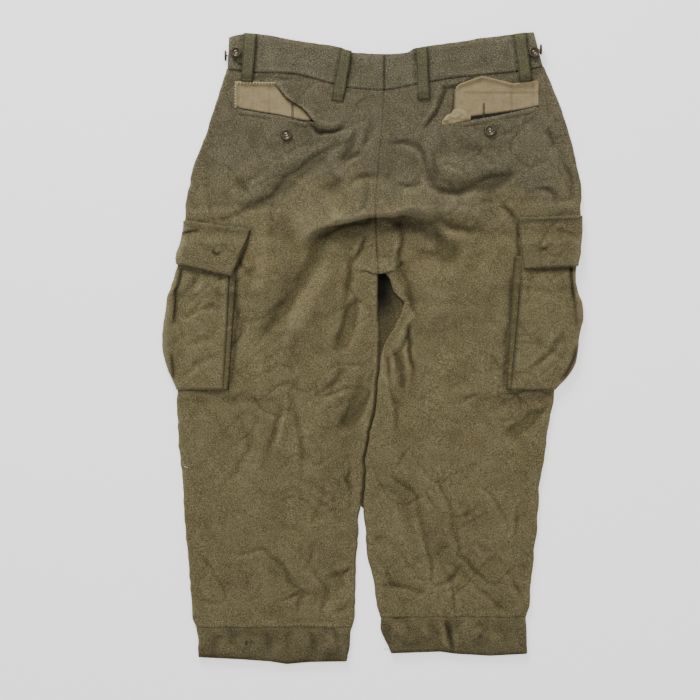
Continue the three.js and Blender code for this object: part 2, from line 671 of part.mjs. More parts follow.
// Cotton facing seen in the mouth of a hip pocket
function hipFacing(side) {
  const margin = 9;
  const belowBand = 4;
  const left = mouths[side][0].x - margin;
  const right = mouths[side].at(-1).x + margin;
  const low = Math.min(...mouths[side].map((row) => row.lower)) - margin;
  const high = Math.max(...mouths[side].map((row) => row.upper)) + margin;
  const highAt = (x) => Math.min(high, curved(bandLine, "x", "seam", x) - belowBand);
  const corners = [[left, low], [right, low], [right, highAt(right)], [left, highAt(left)]];
  const top = hipLevel - cloth - seamGap;
  return prism(corners, top - cotton, top);
}

// Narrow strip along the lower lip of a hip pocket
function hipWelt(side) {
  const { from, to } = welts[side];
  const [width, belowLip, thickness] = [7, 1.5, 1.6];
  const lip = (x) => between(mouths[side], "x", "lower", x) - belowLip;
  const corners = [[from, lip(from)], [to, lip(to)], [to, lip(to) - width], [from, lip(from) - width]];
  return prism(corners, hipLevel + seamGap, hipLevel + seamGap + thickness);
}

// Crumpled bag cloth that looks out of the right hip pocket
function hipBag() {
  const across = 8;
  const upright = 4;
  const puff = { base: 1.6, wave: 1.1, turn: 2.1 };
  const outer = [];
  const inner = [];
  for (let i = 0; i <= upright; i += 1) {
    const outerRow = [];
    const innerRow = [];
    const crest = Math.sin((Math.PI * i) / upright);
    for (let j = 0; j <= across; j += 1) {
      const x = lerp(bag.from, bag.to, j / across);
      const low = bag.low + (x - bag.from) * bag.slope;
      const tall = lerp(bag.least, bag.most, Math.sin((Math.PI * (j + 1.5)) / (across + 3)));
      const z = hipLevel - cloth + cotton + crest * (puff.base + puff.wave * Math.sin(j * puff.turn + i));
      const y = low + (tall * i) / upright;
      outerRow.push([x, y, z]);
      innerRow.push([x, y, z - cotton]);
    }
    outer.push(outerRow);
    inner.push(innerRow);
  }
  return wall(outer, inner);
}

// Piece behind the fly opening, down the centre front
function fly() {
  const { left, right, top, low } = flyPlacket;
  const corner = 26;
  const steps = 4;
  const corners = [[left, top], [left, low]];
  for (let k = 0; k <= steps; k += 1) {
    const angle = (quarter * k) / steps;
    corners.push([right - corner + corner * Math.sin(angle), low + corner - corner * Math.cos(angle)]);
  }
  corners.push([right, top]);
  return prism(corners, 0, cloth);
}

// Strip over the waistband, lifted off it between its sewn ends
function beltLoop({ topX, topY, lowX, lowY }, lift) {
  const steps = 6;
  const steepness = 2.2;
  const outer = [];
  const inner = [];
  for (let i = 0; i <= steps; i += 1) {
    const part = i / steps;
    const x = lerp(topX, lowX, part);
    const y = lerp(topY, lowY, part);
    const z = 2 * bandRadius + seamGap + lift * Math.min(1, steepness * Math.sin(Math.PI * part));
    const left = x - loopWidth / 2;
    const right = x + loopWidth / 2;
    outer.push([[left, y, z + cloth], [right, y, z + cloth]]);
    inner.push([[left, y, z], [right, y, z]]);
  }
  return wall(outer, inner);
}

// Plain strip on the front, across the waistband
function frontLoop(x) {
  const half = loopWidth / 2;
  const [belowTop, aboveSeam] = [4, 3];
  const top = curved(bandLine, "x", "top", x) - belowTop;
  const low = curved(bandLine, "x", "seam", x) + aboveSeam;
  return prism([[x - half, low], [x + half, low], [x + half, top], [x - half, top]], 0, cloth);
}

// Pointed tab that comes out from under the outer belt loop
function sideTab(side) {
  const { root, tip, middle } = tabs[side];
  const half = 15;
  const shoulder = tip - sideSign[side] * 9;
  const corners = [
    [root, middle - half],
    [shoulder, middle - half],
    [tip, middle],
    [shoulder, middle + half],
    [root, middle + half],
  ];
  return prism(corners, 2 * bandRadius + seamGap, 2 * bandRadius + seamGap + cloth);
}

// Sections of the buttons, from the back: share of the radius, and height
// One lies flat, with a raised rim and a dished middle, and one stands on a short neck of thread
const buttonSections = {
  flat: [
    { share: 0, z: 0 },
    { share: 0.72, z: 0 },
    { share: 1, z: 1.3 },
    { share: 0.94, z: 3 },
    { share: 0.74, z: 3.2 },
    { share: 0.56, z: 2.2 },
    { share: 0, z: 1.9 },
  ],
  necked: [
    { share: 0, z: 0 },
    { share: 0.19, z: 0 },
    { share: 0.19, z: 2.6 },
    { share: 0.8, z: 2.6 },
    { share: 1, z: 3.8 },
    { share: 0.9, z: 5.4 },
    { share: 0.6, z: 5 },
    { share: 0, z: 4.8 },
  ],
};

function button(section, radius) {
  const profile = buttonSections[section].map(({ share, z }) => new THREE.Vector2(share * radius, z));
  return tidied(new THREE.LatheGeometry(profile, buttonSides).rotateX(quarter));
}

// Merged copy of a turned shape, without the slivers on its axis
function tidied(geometry) {
  const plain = geometry.clone();
  plain.deleteAttribute("normal");
  plain.deleteAttribute("uv");
  const merged = mergeVertices(plain, 1e-4);
  const index = Array.from(merged.getIndex().array);
  const faces = [];
  for (let k = 0; k < index.length; k += 3) {
    const [a, b, c] = index.slice(k, k + 3);
    if (a !== b && b !== c && c !== a) faces.push(a, b, c);
  }
  return facingOut(Array.from(merged.getAttribute("position").array), faces);
}

const finishes = {
  wool: { color: "#6c6247", roughness: 0.95, metalness: 0 },
  bandWool: { color: "#6b6452", roughness: 0.95, metalness: 0 },
  cotton: { color: "#918367", roughness: 0.85, metalness: 0 },
  horn: { color: "#3a332a", roughness: 0.4, metalness: 0 },
};

const trousers = new THREE.Group();

function add(name, geometry, finish, place = [0, 0, 0], turn = [0, 0, 0]) {
  const mesh = new THREE.Mesh(geometry, new THREE.MeshStandardMaterial(finishes[finish]));
  mesh.name = name;
  mesh.position.set(...place);
  mesh.rotation.set(...turn.map(degToRad));
  trousers.add(mesh);
}

for (const side of ["left", "right"]) {
  add(`back_leg_${side}`, backLeg(side), "wool");
  add(`front_leg_${side}`, legPanel(side, "front", 8), "wool");
  add(`waistband_back_${side}`, bandHalf(side, "back"), "bandWool");
  add(`waistband_front_${side}`, bandHalf(side, "front"), "bandWool");
  add(`cuff_back_${side}`, cuffHalf(side, "back"), "wool");
  add(`cuff_front_${side}`, cuffHalf(side, "front"), "wool");
  add(`hip_facing_${side}`, hipFacing(side), "cotton");
  add(`hip_welt_${side}`, hipWelt(side), "wool");
  add(`cargo_pocket_${side}`, cargoPocket(side), "wool");
  add(`cargo_bellows_back_${side}`, cargoBellows(side, "back"), "wool");
  add(`cargo_bellows_front_${side}`, cargoBellows(side, "front"), "wool");
  add(`cargo_flap_${side}`, cargoFlap(side), "wool");
  add(`side_tab_${side}`, sideTab(side), "bandWool");
  add(`front_loop_${side}`, frontLoop(frontLoopX[side]), "bandWool");
}
const loopLift = { inner: 1, outer: 2.6 };
for (const loop of backLoops) {
  const lift = loop.name.includes("outer") ? loopLift.outer : loopLift.inner;
  add(loop.name, beltLoop(loop, lift), "bandWool");
}
add("hip_bag_right", hipBag(), "cotton");
add("fly_placket", fly(), "wool");

for (const [side, at] of Object.entries(buttonPlaces)) {
  const sign = sideSign[side];
  const tabPlace = [at.tabX, tabButtonY, 2 * bandRadius + layer + at.tabLift];
  const edgePlace = [at.edgeX + sign * 2 * seamGap, at.edgeY, bandButtonRadius + seamGap];
  add(`hip_button_${side}`, button("flat", buttonRadius), "horn", [at.hipX, at.hipY, hipLevel + seamGap]);
  add(`tab_button_${side}`, button("flat", bandButtonRadius), "horn", tabPlace, [0, sign * tabButtonTilt, 0]);
  add(`side_button_${side}`, button("necked", bandButtonRadius), "horn", edgePlace, [0, sign * 90, 0]);
}

export default trousers;
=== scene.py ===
# Wool cargo trousers laid flat with the back side up: cloth, sewing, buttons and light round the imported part
# Lengths in the tables are millimetres, +X the wearer's right, +Y the waist, +Z up
import math

import bmesh
import bpy
import numpy as np
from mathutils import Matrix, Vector


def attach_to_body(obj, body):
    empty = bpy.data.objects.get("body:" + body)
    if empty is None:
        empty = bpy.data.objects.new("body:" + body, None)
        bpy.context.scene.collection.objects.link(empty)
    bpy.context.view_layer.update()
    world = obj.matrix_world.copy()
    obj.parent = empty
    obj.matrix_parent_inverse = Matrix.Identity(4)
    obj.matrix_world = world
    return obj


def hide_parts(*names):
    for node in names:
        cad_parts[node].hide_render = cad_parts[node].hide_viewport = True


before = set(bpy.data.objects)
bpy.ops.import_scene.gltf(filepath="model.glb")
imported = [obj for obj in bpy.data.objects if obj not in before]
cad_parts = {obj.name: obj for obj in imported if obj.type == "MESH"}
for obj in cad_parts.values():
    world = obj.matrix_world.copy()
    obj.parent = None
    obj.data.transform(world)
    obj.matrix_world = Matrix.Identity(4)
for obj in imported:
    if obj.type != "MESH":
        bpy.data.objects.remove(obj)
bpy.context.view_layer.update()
rng = np.random.default_rng(7)

quarter = math.pi / 2
sideSign = {"left": -1, "right": 1}

# Driving sizes. The walls, radii, gaps and seams are the same as in the part
cut = {
    "cloth": 2, "bandCloth": 2.6, "cotton": 1, "seamGap": 0.3, "curveEase": 0.35,
    "edgeRadius": 3.6, "bandRadius": 4.2, "restRise": 1.2, "deepest": 2.7, "flyEase": 2.0,
    "forkY": 112, "seatX": 17, "loopWidth": 16.5, "gussetRise": 2.4,
    "pocketTop": 132, "pocketBottom": -60, "underReach": 120, "partedY": -228,
    "frontLap": 0.6, "rowTop": 399, "frontDrop": 3,
}
cuffSeam = {"left": -405, "right": -390}
layer = cut["cloth"] + cut["seamGap"]
hipLevel = 2 * cut["edgeRadius"]
bandLevel = 2 * cut["bandRadius"]


def table(columns, rows):
    return dict(zip(columns.split(), np.array(rows, float).T))


# Sides of the garment at each height
sections = table("y outerLeft innerLeft innerRight outerRight", [
    (-446, -253, -35, 28, 225), (-423, -253, -33, 17, 225), (-405, -255, -30, 11, 224),
    (-390, -261, -27, 11, 223), (-371, -263, -26, 6, 227), (-336, -265, -25, 2, 230),
    (-302, -267, -24, -7, 234), (-284, -269, -22, -9, 236), (-249, -272, -21, -11, 239),
    (-228, -273, -17, -13, 241), (-197, -276, -14, -11, 243), (-148, -280, -12, -9, 250),
    (-128, -281, -8, -5, 253), (-93, -283, -1, 2, 260), (-60, -285, 5, 8, 267), (-42, -293, 6, 9, 283),
    (-23, -299, 7, 10, 294), (-6, -302, 8, 13, 297), (12, -304, 9, 20, 299), (29, -304, 9, 31, 302),
    (46, -301, 8, 41, 305), (65, -299, 8, 46, 303), (81, -297, 8, 31, 297), (99, -291, 8, 25, 295),
    (116, -285, 8, 12, 296), (133, -285, 7, 7, 301), (168, -276, 5, 5, 304), (203, -273, 4, 4, 304),
    (238, -265, 6, 6, 302), (273, -256, 9, 9, 295), (307, -243, 13, 13, 286), (342, -231, 15, 15, 275),
    (368, -223, 16, 16, 265), (386, -217, 17, 17, 257), (410, -209, 17, 17, 248),
])

# Upper edge of the waistband and the seam below it
bandLine = table("x top seam", [
    (-212, 449, 404), (-178, 455, 399), (-112, 445, 396), (-46, 434, 379), (-30, 427, 376), (17, 425, 373),
    (51, 427, 379), (62, 434, 381), (120, 442, 391), (210, 455, 400), (250, 457, 408),
])

# Lower edge of the cuffs
hemLine = table("x y", [
    (-253, -447), (-192, -450), (-149, -453), (-124, -457), (-91, -454), (-34, -453), (10, -442),
    (98, -439), (120, -442), (170, -445), (226, -442),
])

# Large folds, the same as in the part: rise is a ridge or, below zero, a trough
folds = table("x1 y1 x2 y2 bow rise left right", [
    (-47, 323, -178, 225, -6, 4, 34, 34), (-28, 303, -160, 207, -8, -6, 16, 16),
    (-140, 218, -240, 184, 4, -3, 14, 14), (64, 298, 92, 232, 3, -5, 12, 12),
    (86, 234, 205, 250, -8, -6, 13, 12), (90, 258, 205, 272, -6, 4, 22, 14),
    (-108, 150, -28, 204, 10, 14, 36, 13), (-62, 192, 88, 197, 13, 21, 42, 14),
    (55, 203, 165, 192, 5, 9, 36, 16), (-70, 150, -158, 22, 6, -5, 17, 20),
    (-105, 168, -180, 60, 0, 4, 26, 30), (-48, 128, -118, 0, -6, 8, 26, 26),
    (-28, 72, -50, -8, 4, -6, 12, 12), (56, 176, 128, 130, -4, -6, 18, 18),
    (62, 126, 108, 30, -4, 8, 28, 30), (56, 66, 16, -10, 4, 6, 14, 14), (34, 20, 36, -120, 6, -3, 14, 14),
    (4, -26, -46, -118, 6, -5, 15, 15), (250, -80, 188, -132, 4, -3, 18, 18),
    (-70, -40, -110, -220, 8, 4, 30, 30), (22, -186, 60, -270, 8, -3, 18, 18),
    (70, -246, 150, -345, -6, -3, 20, 20), (150, -190, 212, -366, 6, 4, 24, 24),
    (-158, -296, -60, -384, -8, -3, 20, 20), (-24, -312, -90, -366, 5, -3, 18, 18),
    (-232, -180, -150, -280, 8, 3, 26, 26),
])

# Narrow creases that the cloth shows besides
creases = table("x1 y1 x2 y2 bow rise width", [
    (-30, 302, -150, 214, -9, -2.6, 5.5), (-140, 222, -235, 186, 5, -1.6, 6),
    (-25, 309, -47, 273, 2, -2.6, 5), (-40, 268, -18, 283, 0, -2.2, 3.5), (-33, 236, 4, 255, 2, -1.8, 4),
    (-69, 229, -40, 244, 0, -1.8, 6), (-22, 352, 7, 339, 3, -2.2, 5), (0, 363, -21, 345, 0, -2, 4),
    (-4, 338, -11, 294, 3, -2, 4), (28, 300, 66, 292, 3, -2.2, 5), (62, 298, 92, 232, 3, -2.2, 5),
    (88, 234, 134, 231, -5, -3.4, 5), (125, 229, 205, 252, -4, -2.4, 5), (37, 235, 66, 238, -3, -2.4, 5),
    (254, 316, 266, 294, 0, -1.6, 4), (-176, 393, -118, 390, 2, -1.6, 3), (272, 280, 293, 229, 3, -1.8, 6),
    (240, 229, 272, 215, 2, -2, 5), (188, 207, 207, 186, 2, -2, 4), (-156, 262, -196, 236, 3, -1.2, 7),
    (148, 288, 196, 262, -4, -1.1, 6), (104, 268, 128, 262, 2, -1.4, 3.5), (-76, 149, -156, 26, 7, -2.6, 7),
    (-30, 125, -40, 70, 3, -2.4, 5), (-25, 70, -48, 10, 4, -3, 5.5), (-40, -32, -91, -75, 4, -1.6, 5.5),
    (4, -25, -44, -112, 9, -3.2, 6), (-73, -73, -33, -58, 2, -1.6, 3.5),
    (-137, -97, -160, -162, 3, -1.6, 6), (-11, 157, -25, 125, 2, -2.4, 3.5),
    (43, 164, 37, 125, 2, -2.4, 3.5), (98, 183, 153, 171, -4, -3, 6), (56, 38, 44, 2, 3, -2.4, 5),
    (53, 26, 56, -39, 3, -2.6, 3.5), (33, -3, 46, -54, 3, -2.8, 4), (18, -6, 26, -46, 2, -2.6, 3.5),
    (28, -60, 32, -120, 2, -1.6, 4), (40, 125, 62, 33, 4, -2.2, 6), (260, -78, 192, -129, 4, -2, 6),
    (127, -75, 156, -65, 2, -1.2, 3.5), (15, -177, 66, -232, 9, -1.7, 4.5),
    (66, -226, 88, -345, 5, -1.8, 4.5), (91, -181, 122, -288, 4, -1.3, 4),
    (118, -276, 162, -338, -5, -1.6, 4), (156, -198, 197, -264, 4, -1.6, 4),
    (91, -344, 129, -319, -4, -1.8, 3.5), (107, -332, 118, -382, 3, -2.2, 4),
    (15, -346, 76, -357, 5, -2, 5), (11, -382, 79, -386, -3, -1.8, 3), (185, -310, 218, -368, 4, -1.7, 4.5),
    (209, -237, 203, -278, 2, -1.3, 3.5), (134, -334, 210, -390, -4, -1.2, 4),
    (-36, -163, -33, -222, 2, -2, 3.5), (-159, -293, -102, -362, 4, -1.6, 4),
    (-86, -286, -94, -322, 2, -1.4, 3.5), (-25, -312, -66, -332, 3, -2.2, 4),
    (-25, -355, -48, -380, 2, -1.6, 3.5), (-126, -366, -92, -358, 2, -1.8, 3),
    (-102, -356, -108, -386, 1, -1.6, 3), (-86, -317, -66, -355, -3, -1.8, 4),
    (-66, -350, -73, -388, 2, -1.6, 4), (-134, -402, -33, -395, 3, -1.8, 3),
    (-204, -298, -156, -293, 2, -1.2, 3.5), (-178, -133, -220, -205, 6, -1.3, 4.5),
    (-70, -200, -92, -262, 3, -1.1, 5), (-115, -88, -104, -206, 6, -1.4, 4.5),
    (-127, -82, -140, -142, 4, 1.6, 5), (-137, 380, -104, 350, -5, 2.6, 5.5),
    (-104, 350, -84, 324, 4, 3, 5.5), (-90, 334, -42, 329, -8, 2.4, 10),
    (-92, 325, -42, 318, -9, -3.2, 3.5), (146, 394, 104, 374, 4, -3.4, 3.5),
    (104, 376, 79, 322, 3, -3.4, 3),
])

# Painted shade in creases, under raised edges and beside pockets, flaps and seams, and a few dark spots and
# patches on the cuffs: rise is how dark, width how wide
paintedShadeAndSpots = {
    "back": table("x1 y1 x2 y2 bow rise width", [
        (-84, 156, 8, 186, 4, 0.75, 3.8), (16, 187, 44, 170, 4, 0.5, 4), (24, 180, 104, 162, 5, 0.4, 10),
        (-105, 128, -152, 23, -6, 0.22, 10), (69, 174, 127, 135, -4, 0.25, 9),
        (33, 115, 44, 126, -2, 0.75, 3.5), (-91, 324, -42, 317, -9, 0.8, 3),
        (146, 393, 103, 373, 4, 0.6, 2.6), (105, 375, 79, 322, 4, 0.65, 2.8),
        (88, 234, 136, 229, -5, 0.4, 6), (54, 30, 58, -70, 3, 0.25, 5), (-173, 173, -198, 110, 0, 0.7, 3.5),
        (-194, 104, -197, 40, 0, 0.6, 4), (-197, 44, -206, -58, 0, 0.6, 4),
        (-284, -62, -206, -62, 0, 0.5, 3), (208, 188, 215, 118, 0, 0.65, 3.5),
        (203, 112, 197, 40, 0, 0.6, 4), (197, 44, 192, -60, 0, 0.6, 4), (194, -62, 270, -62, 0, 0.5, 3),
        (-274, 188, -176, 173, 0, 0.4, 2.5), (-176, 393, -118, 390, 2, 0.3, 2.5),
        (211, 191, 304, 193, 0, 0.35, 2.5), (186, 210, 206, 188, 2, 0.3, 5),
        (-25, 309, -49, 268, 2, 0.3, 4), (34, -4, 46, -60, 3, 0.25, 4), (4, -25, -44, -112, 9, 0.3, 4),
        (260, -66, 190, -70, 4, 0.25, 9), (98, -278, 153, -341, -5, 0.12, 5),
        (91, -344, 127, -319, -4, 0.15, 4), (-80, 60, -128, 0, 5, 0.1, 12),
    ]),
    "pocket": table("x1 y1 x2 y2 bow rise width", [
        (-290, 118, -204, 100, 0, 0.75, 4), (219, 111, 304, 115, 0, 0.75, 4),
        (-277, 114, -286, 80, 2, 0.95, 2.6), (-286, 86, -289, 34, 2, 0.95, 2.6),
        (287, 117, 292, 66, -1, 0.95, 2.6), (292, 70, 296, 30, 0, 0.5, 2.6),
        (295, 4, 273, -46, 4, 0.85, 2.8), (-292, -8, -288, -46, 1, 0.8, 2.6),
        (-252, 108, -275, 82, 3, 0.3, 4), (-276, 44, -218, 58, 4, 0.18, 4), (279, 26, 226, -28, 4, 0.2, 5),
        (-206, 104, -209, -56, 0, 0.35, 3), (216, 112, 201, -56, 0, 0.35, 3),
    ]),
    "flap": table("x1 y1 x2 y2 bow rise width", [
        (-283, 163, -249, 171, 1, 0.75, 2.2), (-272, 177, -182, 165, 1, 0.25, 2.2),
        (211, 183, 304, 186, 0, 0.5, 3), (267, 171, 296, 160, 3, 0.3, 3), (234, 138, 260, 152, 0, 0.22, 3),
        (-262, 150, -238, 148, 3, 0.12, 5),
    ]),
    "cuff": table("x1 y1 x2 y2 bow rise width", [
        (103, -394, 116, -436, 2, 0.5, 3.5), (14, -394, 20, -436, 0, 0.2, 14),
        (-184, -424, -181, -431, 0, 0.6, 2.5), (155, -413, 157, -420, 0, 0.6, 2.5),
        (-240, -414, -150, -420, 0, 0.1, 12), (-90, -440, -40, -444, 0, 0.15, 8),
    ]),
}

# Where the back lies calm, without large folds: round the hip pockets and the cargo pockets
calmZones = table("x y halfX halfY ramp", [
    (-150, 347, 88, 50, 34), (168, 347, 92, 50, 34), (-262, 60, 84, 132, 22), (262, 60, 86, 138, 22),
])

# Where it lies on the hip pockets' facings and mustn't dip far
facingZones = table("x y halfX halfY", [(-136, 353, 62, 35), (166, 353, 74, 41)])

# How far the cargo pockets' faces and bellows reach over the back at three heights, and the flaps' corners
pocketLines = {
    "left": table("y face bellows", [(-60, -216, -209), (40, -210, -202), (132, -206, -196)]),
    "right": table("y face bellows", [(-60, 199, 194), (40, 209, 199), (132, 216, 205)]),
}
flapCorners = {
    "left": {"sideTop": 184, "innerTopX": -177, "innerTopY": 171,
             "sideLow": 122, "innerLowX": -204, "innerLowY": 104},
    "right": {"sideTop": 191, "innerTopX": 211, "innerTopY": 188,
              "sideLow": 119, "innerLowX": 219, "innerLowY": 115},
}

# Lips of the hip pockets' mouths
mouths = {
    "left": table("x upper lower", [
        (-197, 380, 348), (-191, 384, 345), (-145, 384, 337), (-137, 378, 336), (-124, 362, 333),
        (-101, 348, 328), (-89, 333, 327), (-83, 327, 325),
    ]),
    "right": table("x upper lower", [
        (101, 323, 321), (108, 335, 323), (115, 342, 324), (117, 373, 325), (127, 381, 326),
        (141, 386, 329), (159, 392, 332), (176, 388, 335), (204, 381, 341), (238, 385, 349),
    ]),
}
# Middles of the bound buttonholes, and the fly placket, over which the back lies a layer higher
buttonholeX = {"left": -116, "right": 161}
flyZone = {"x": 12, "y": 284, "halfX": 22, "halfY": 88}


def smoothstep(value, low, high):
    t = np.clip((value - low) / (high - low), 0, 1)
    return t * t * (3 - 2 * t)


def lerp(a, b, t):
    return a + (b - a) * t


def plateau(value, low, high, ramp):
    return smoothstep(value, low - ramp, low) * fade(value, high, high + ramp)


def fade(value, low, high):
    return 1 - smoothstep(value, low, high)


def bell(distance, width):
    return np.exp(-((distance / width) ** 2))


# The rows of a table, each as a dictionary
def rowsOf(columns):
    return [dict(zip(columns, values)) for values in zip(*columns.values())]


# 1 in a rectangle and 0 outside it, with a soft ramp
def zone(x, y, spot, margin=0, ramp=22):
    halfX, halfY = spot["halfX"] + margin, spot["halfY"] + margin
    across = plateau(x, spot["x"] - halfX, spot["x"] + halfX, ramp)
    return across * plateau(y, spot["y"] - halfY, spot["y"] + halfY, ramp)


# A column of a table against its first one, in straight lines
def between(rows, column, at):
    return np.interp(at, next(iter(rows.values())), rows[column])


# The same as a smooth curve
def curved(rows, column, at):
    xs, ys = next(iter(rows.values())), rows[column]
    slopes = np.empty_like(ys)
    slopes[1:-1] = (ys[2:] - ys[:-2]) / (xs[2:] - xs[:-2])
    slopes[0] = (ys[1] - ys[0]) / (xs[1] - xs[0])
    slopes[-1] = (ys[-1] - ys[-2]) / (xs[-1] - xs[-2])
    at = np.asarray(at, float)
    i = np.clip(np.searchsorted(xs, at) - 1, 0, len(xs) - 2)
    width = xs[i + 1] - xs[i]
    t = np.clip((at - xs[i]) / width, 0, 1)
    square, cube = t * t, t * t * t
    return ((2 * cube - 3 * square + 1) * ys[i] + (cube - 2 * square + t) * width * slopes[i]
            + (3 * square - 2 * cube) * ys[i + 1] + (cube - square) * width * slopes[i + 1])


# Smooth random field: value noise on a square lattice, from -1 to 1
latticeSize = 64
lattice = rng.uniform(-1, 1, (latticeSize, latticeSize))


def softNoise(x, y, size):
    u, v = np.asarray(x) / size + 31.7, np.asarray(y) / size + 17.3
    i, j = np.floor(u).astype(int), np.floor(v).astype(int)
    s, t = smoothstep(u - i, 0, 1), smoothstep(v - j, 0, 1)
    i, after = i % latticeSize, (i + 1) % latticeSize
    rows = [lerp(lattice[i, k % latticeSize], lattice[after, k % latticeSize], s) for k in (j, j + 1)]
    return lerp(*rows, t)


# Places shifted a little at random, so that no crease runs straight
def bent(x, y):
    return (x + 4 * softNoise(x, y, 26) + 1.5 * softNoise(x, y, 11),
            y + 4 * softNoise(x + 90, y, 26) + 1.5 * softNoise(x + 50, y, 11))


# Small random wander of an edge, from a row of its own in the random field
wanderRows = {"band": 20, "side": 60, "inside": 110, "cuff": 150}


def wander(along, row, reach=1.5):
    return reach * softNoise(along, row, 21) + 0.45 * reach * softNoise(along, row + 40, 9)


def outline(side, y):
    return curved(sections, f"outer{side.title()}", y) + wander(y, wanderRows["side"] * sideSign[side])


def bandTop(x):
    return curved(bandLine, "top", x) + wander(x, wanderRows["band"], 0.8)


def bandSeam(x):
    return curved(bandLine, "seam", x)


def cuffTop(side, x):
    return cuffSeam[side] + wander(x, wanderRows["cuff"], 1.2)


def hem(x):
    return between(hemLine, "y", x)


def pocketCover(y):
    return plateau(y, cut["pocketBottom"], cut["pocketTop"] + 18, 18)


# How many layers wrap round the side of the leg there: pocket and flap
def sideLayers(side, y):
    flap = flapCorners[side]
    return pocketCover(y) + plateau(y, flap["innerLowY"] - 18, flap["sideTop"] + 12, 14)


def legEdge(side, y):
    return outline(side, y) - sideSign[side] * layer * sideLayers(side, y)


# The centre seam, and below the fork the edge along the gap between the legs
def innerEdge(side, y, face="back"):
    gap = sideSign[side] * (cut["seamGap"] / 2 if face == "back" else -cut["frontLap"])
    gap = gap + wander(y, wanderRows["inside"]) * fade(y, 60, cut["forkY"])
    left, right = between(sections, "innerLeft", y), between(sections, "innerRight", y)
    if side == "left" or face == "back":
        return (left if side == "left" else right) + gap
    return gap + np.where(np.asarray(y) > cut["partedY"], left, right)


# How far the wrapped layers lift the leg from below, near its side
def sideLift(x, y):
    height = 0
    for side, sign in sideSign.items():
        fromEdge = sign * (legEdge(side, y) - x)
        near = fade(fromEdge, cut["underReach"], cut["underReach"] + 30)
        height = height + layer * near * sideLayers(side, y)
    return height


def floorHeight(x, y):
    return sideLift(x, y) + layer * zone(x, y, flyZone, 26)


# Height of each fold of a table at the points, added up; end and over shape its two ends
def foldSum(rows, x, y, end=0.28, over=0.06, lip=0.0, power=2.0):
    total = 0
    for row in rowsOf(rows):
        runX, runY = row["x2"] - row["x1"], row["y2"] - row["y1"]
        length = math.hypot(runX, runY)
        dirX, dirY = runX / length, runY / length
        along = ((x - row["x1"]) * dirX + (y - row["y1"]) * dirY) / length
        inside = np.clip(along, 0, 1)
        across = (y - row["y1"]) * dirX - (x - row["x1"]) * dirY - row["bow"] * 4 * inside * (1 - inside)
        width = np.where(across > 0, row["left"], row["right"]) if "left" in row else row["width"]
        taper = smoothstep(along, -over, end) * fade(along, 1 - end, 1 + over)
        profile = np.exp(-(abs(across / width) ** power))
        if lip:
            profile = profile - lip * bell(across + 1.9 * width, 1.3 * width)
        total = total + row["rise"] * taper * profile
    return total


# Back of the legs: steps between its points, how deep its creases are low and high up, how much of the
# random crumpling, swelling and rippling it has, and how far it may dip over the facings.
# A pair is where something starts and is full: from a seam or an edge inwards, or up the leg
skin = {
    "backStep": 2.6, "frontStep": 5.0, "lowCreases": 1.15, "highCreases": 1.5, "crumpled": 1.3,
    "swell": 1.0, "ripple": 0.4, "overFacing": -1.6, "overFly": -0.8,
    "waistCalm": (34, 80), "cuffCalm": (4, 50), "restEdge": (12, 50), "foldEdge": (4, 26),
    "fineEnd": (2, 16), "fineEdge": (2, 14), "deeperUp": (-200, -60),
}
# Where the crest over the fork leans, how far, and over which heights
crest = {"x": (-62, 26, 34), "y": (150, 214, 16), "lean": 11, "height": (5, 17)}
crumples = table("part alongX shift alongY size sharp", [
    (1, 1, 0, 0.6, 34, 12), (0.6, 1, 60, 0.6, 19, 9), (0.8, 0.5, 300, 1, 30, 14),
])


# Height of the back layer above its height at the edges, with the fine creases
def backRelief(side, x, y):
    sideDistance = sideSign[side] * (legEdge(side, y) - x)
    innerDistance = np.where(y > cut["forkY"], 1e6, sideSign[side] * (x - innerEdge(side, y)))
    nearEdge = np.minimum(sideDistance, innerDistance)
    fromWaist, fromCuff = bandSeam(x) - y, y - cuffTop(side, x)
    ends = smoothstep(fromWaist, *skin["waistCalm"]) * smoothstep(fromCuff, *skin["cuffCalm"])
    calm = ends
    for spot in rowsOf(calmZones):
        calm = calm * (1 - zone(x, y, spot, 0, spot["ramp"]))
    overFly = zone(x, y, flyZone, 46)
    rise = cut["restRise"] * smoothstep(nearEdge, *skin["restEdge"]) * calm * (1 - overFly)
    relief = foldSum(folds, x, y) * calm * smoothstep(nearEdge, *skin["foldEdge"])
    base = np.maximum(relief + rise, lerp(-cut["deepest"], 0, overFly)) + cut["flyEase"] * overFly * ends

    bentX, bentY = bent(x, y)
    depth = lerp(skin["lowCreases"], skin["highCreases"], smoothstep(y, *skin["deeperUp"]))
    fine = depth * foldSum(creases, bentX, bentY, 0.4, 0.3, 0.25, 1.25)
    patches = lerp(0.35, 1, smoothstep(softNoise(x + 200, y, 80), -0.3, 0.4))
    turnX, turnY = 0.8 * bentX + 0.6 * bentY, 0.8 * bentY - 0.6 * bentX
    crumple = 0
    for wave in rowsOf(crumples):
        field = softNoise(wave["alongX"] * turnX + wave["shift"], wave["alongY"] * turnY, wave["size"])
        crumple = crumple + wave["part"] * (1 - abs(field)) ** wave["sharp"]
    fine = fine - skin["crumpled"] * crumple * patches
    fine = fine + skin["swell"] * softNoise(x, y, 37) + skin["ripple"] * softNoise(x + 40, y, 15)
    fineEnds = smoothstep(fromWaist, *skin["fineEnd"]) * smoothstep(fromCuff, *skin["fineEnd"])
    fineEnds = fineEnds * smoothstep(nearEdge, *skin["fineEdge"])
    least = lerp(-cut["deepest"] - 0.4, skin["overFly"], overFly)
    for spot in rowsOf(facingZones):
        least = np.maximum(least, lerp(least, skin["overFacing"], zone(x, y, spot, 0, 8)))
    return np.maximum(base + fine * fineEnds, least)


def backTop(side, x, y):
    return sideLift(x, y) + hipLevel + backRelief(side, x, y)


# The crest over the fork leans towards the legs, so that it hangs over the hollow below it
def overhang(x, y, z):
    reach = plateau(x, *crest["x"]) * plateau(y, *crest["y"])
    return crest["lean"] * reach * smoothstep(z - sideLift(x, y) - hipLevel, *crest["height"])


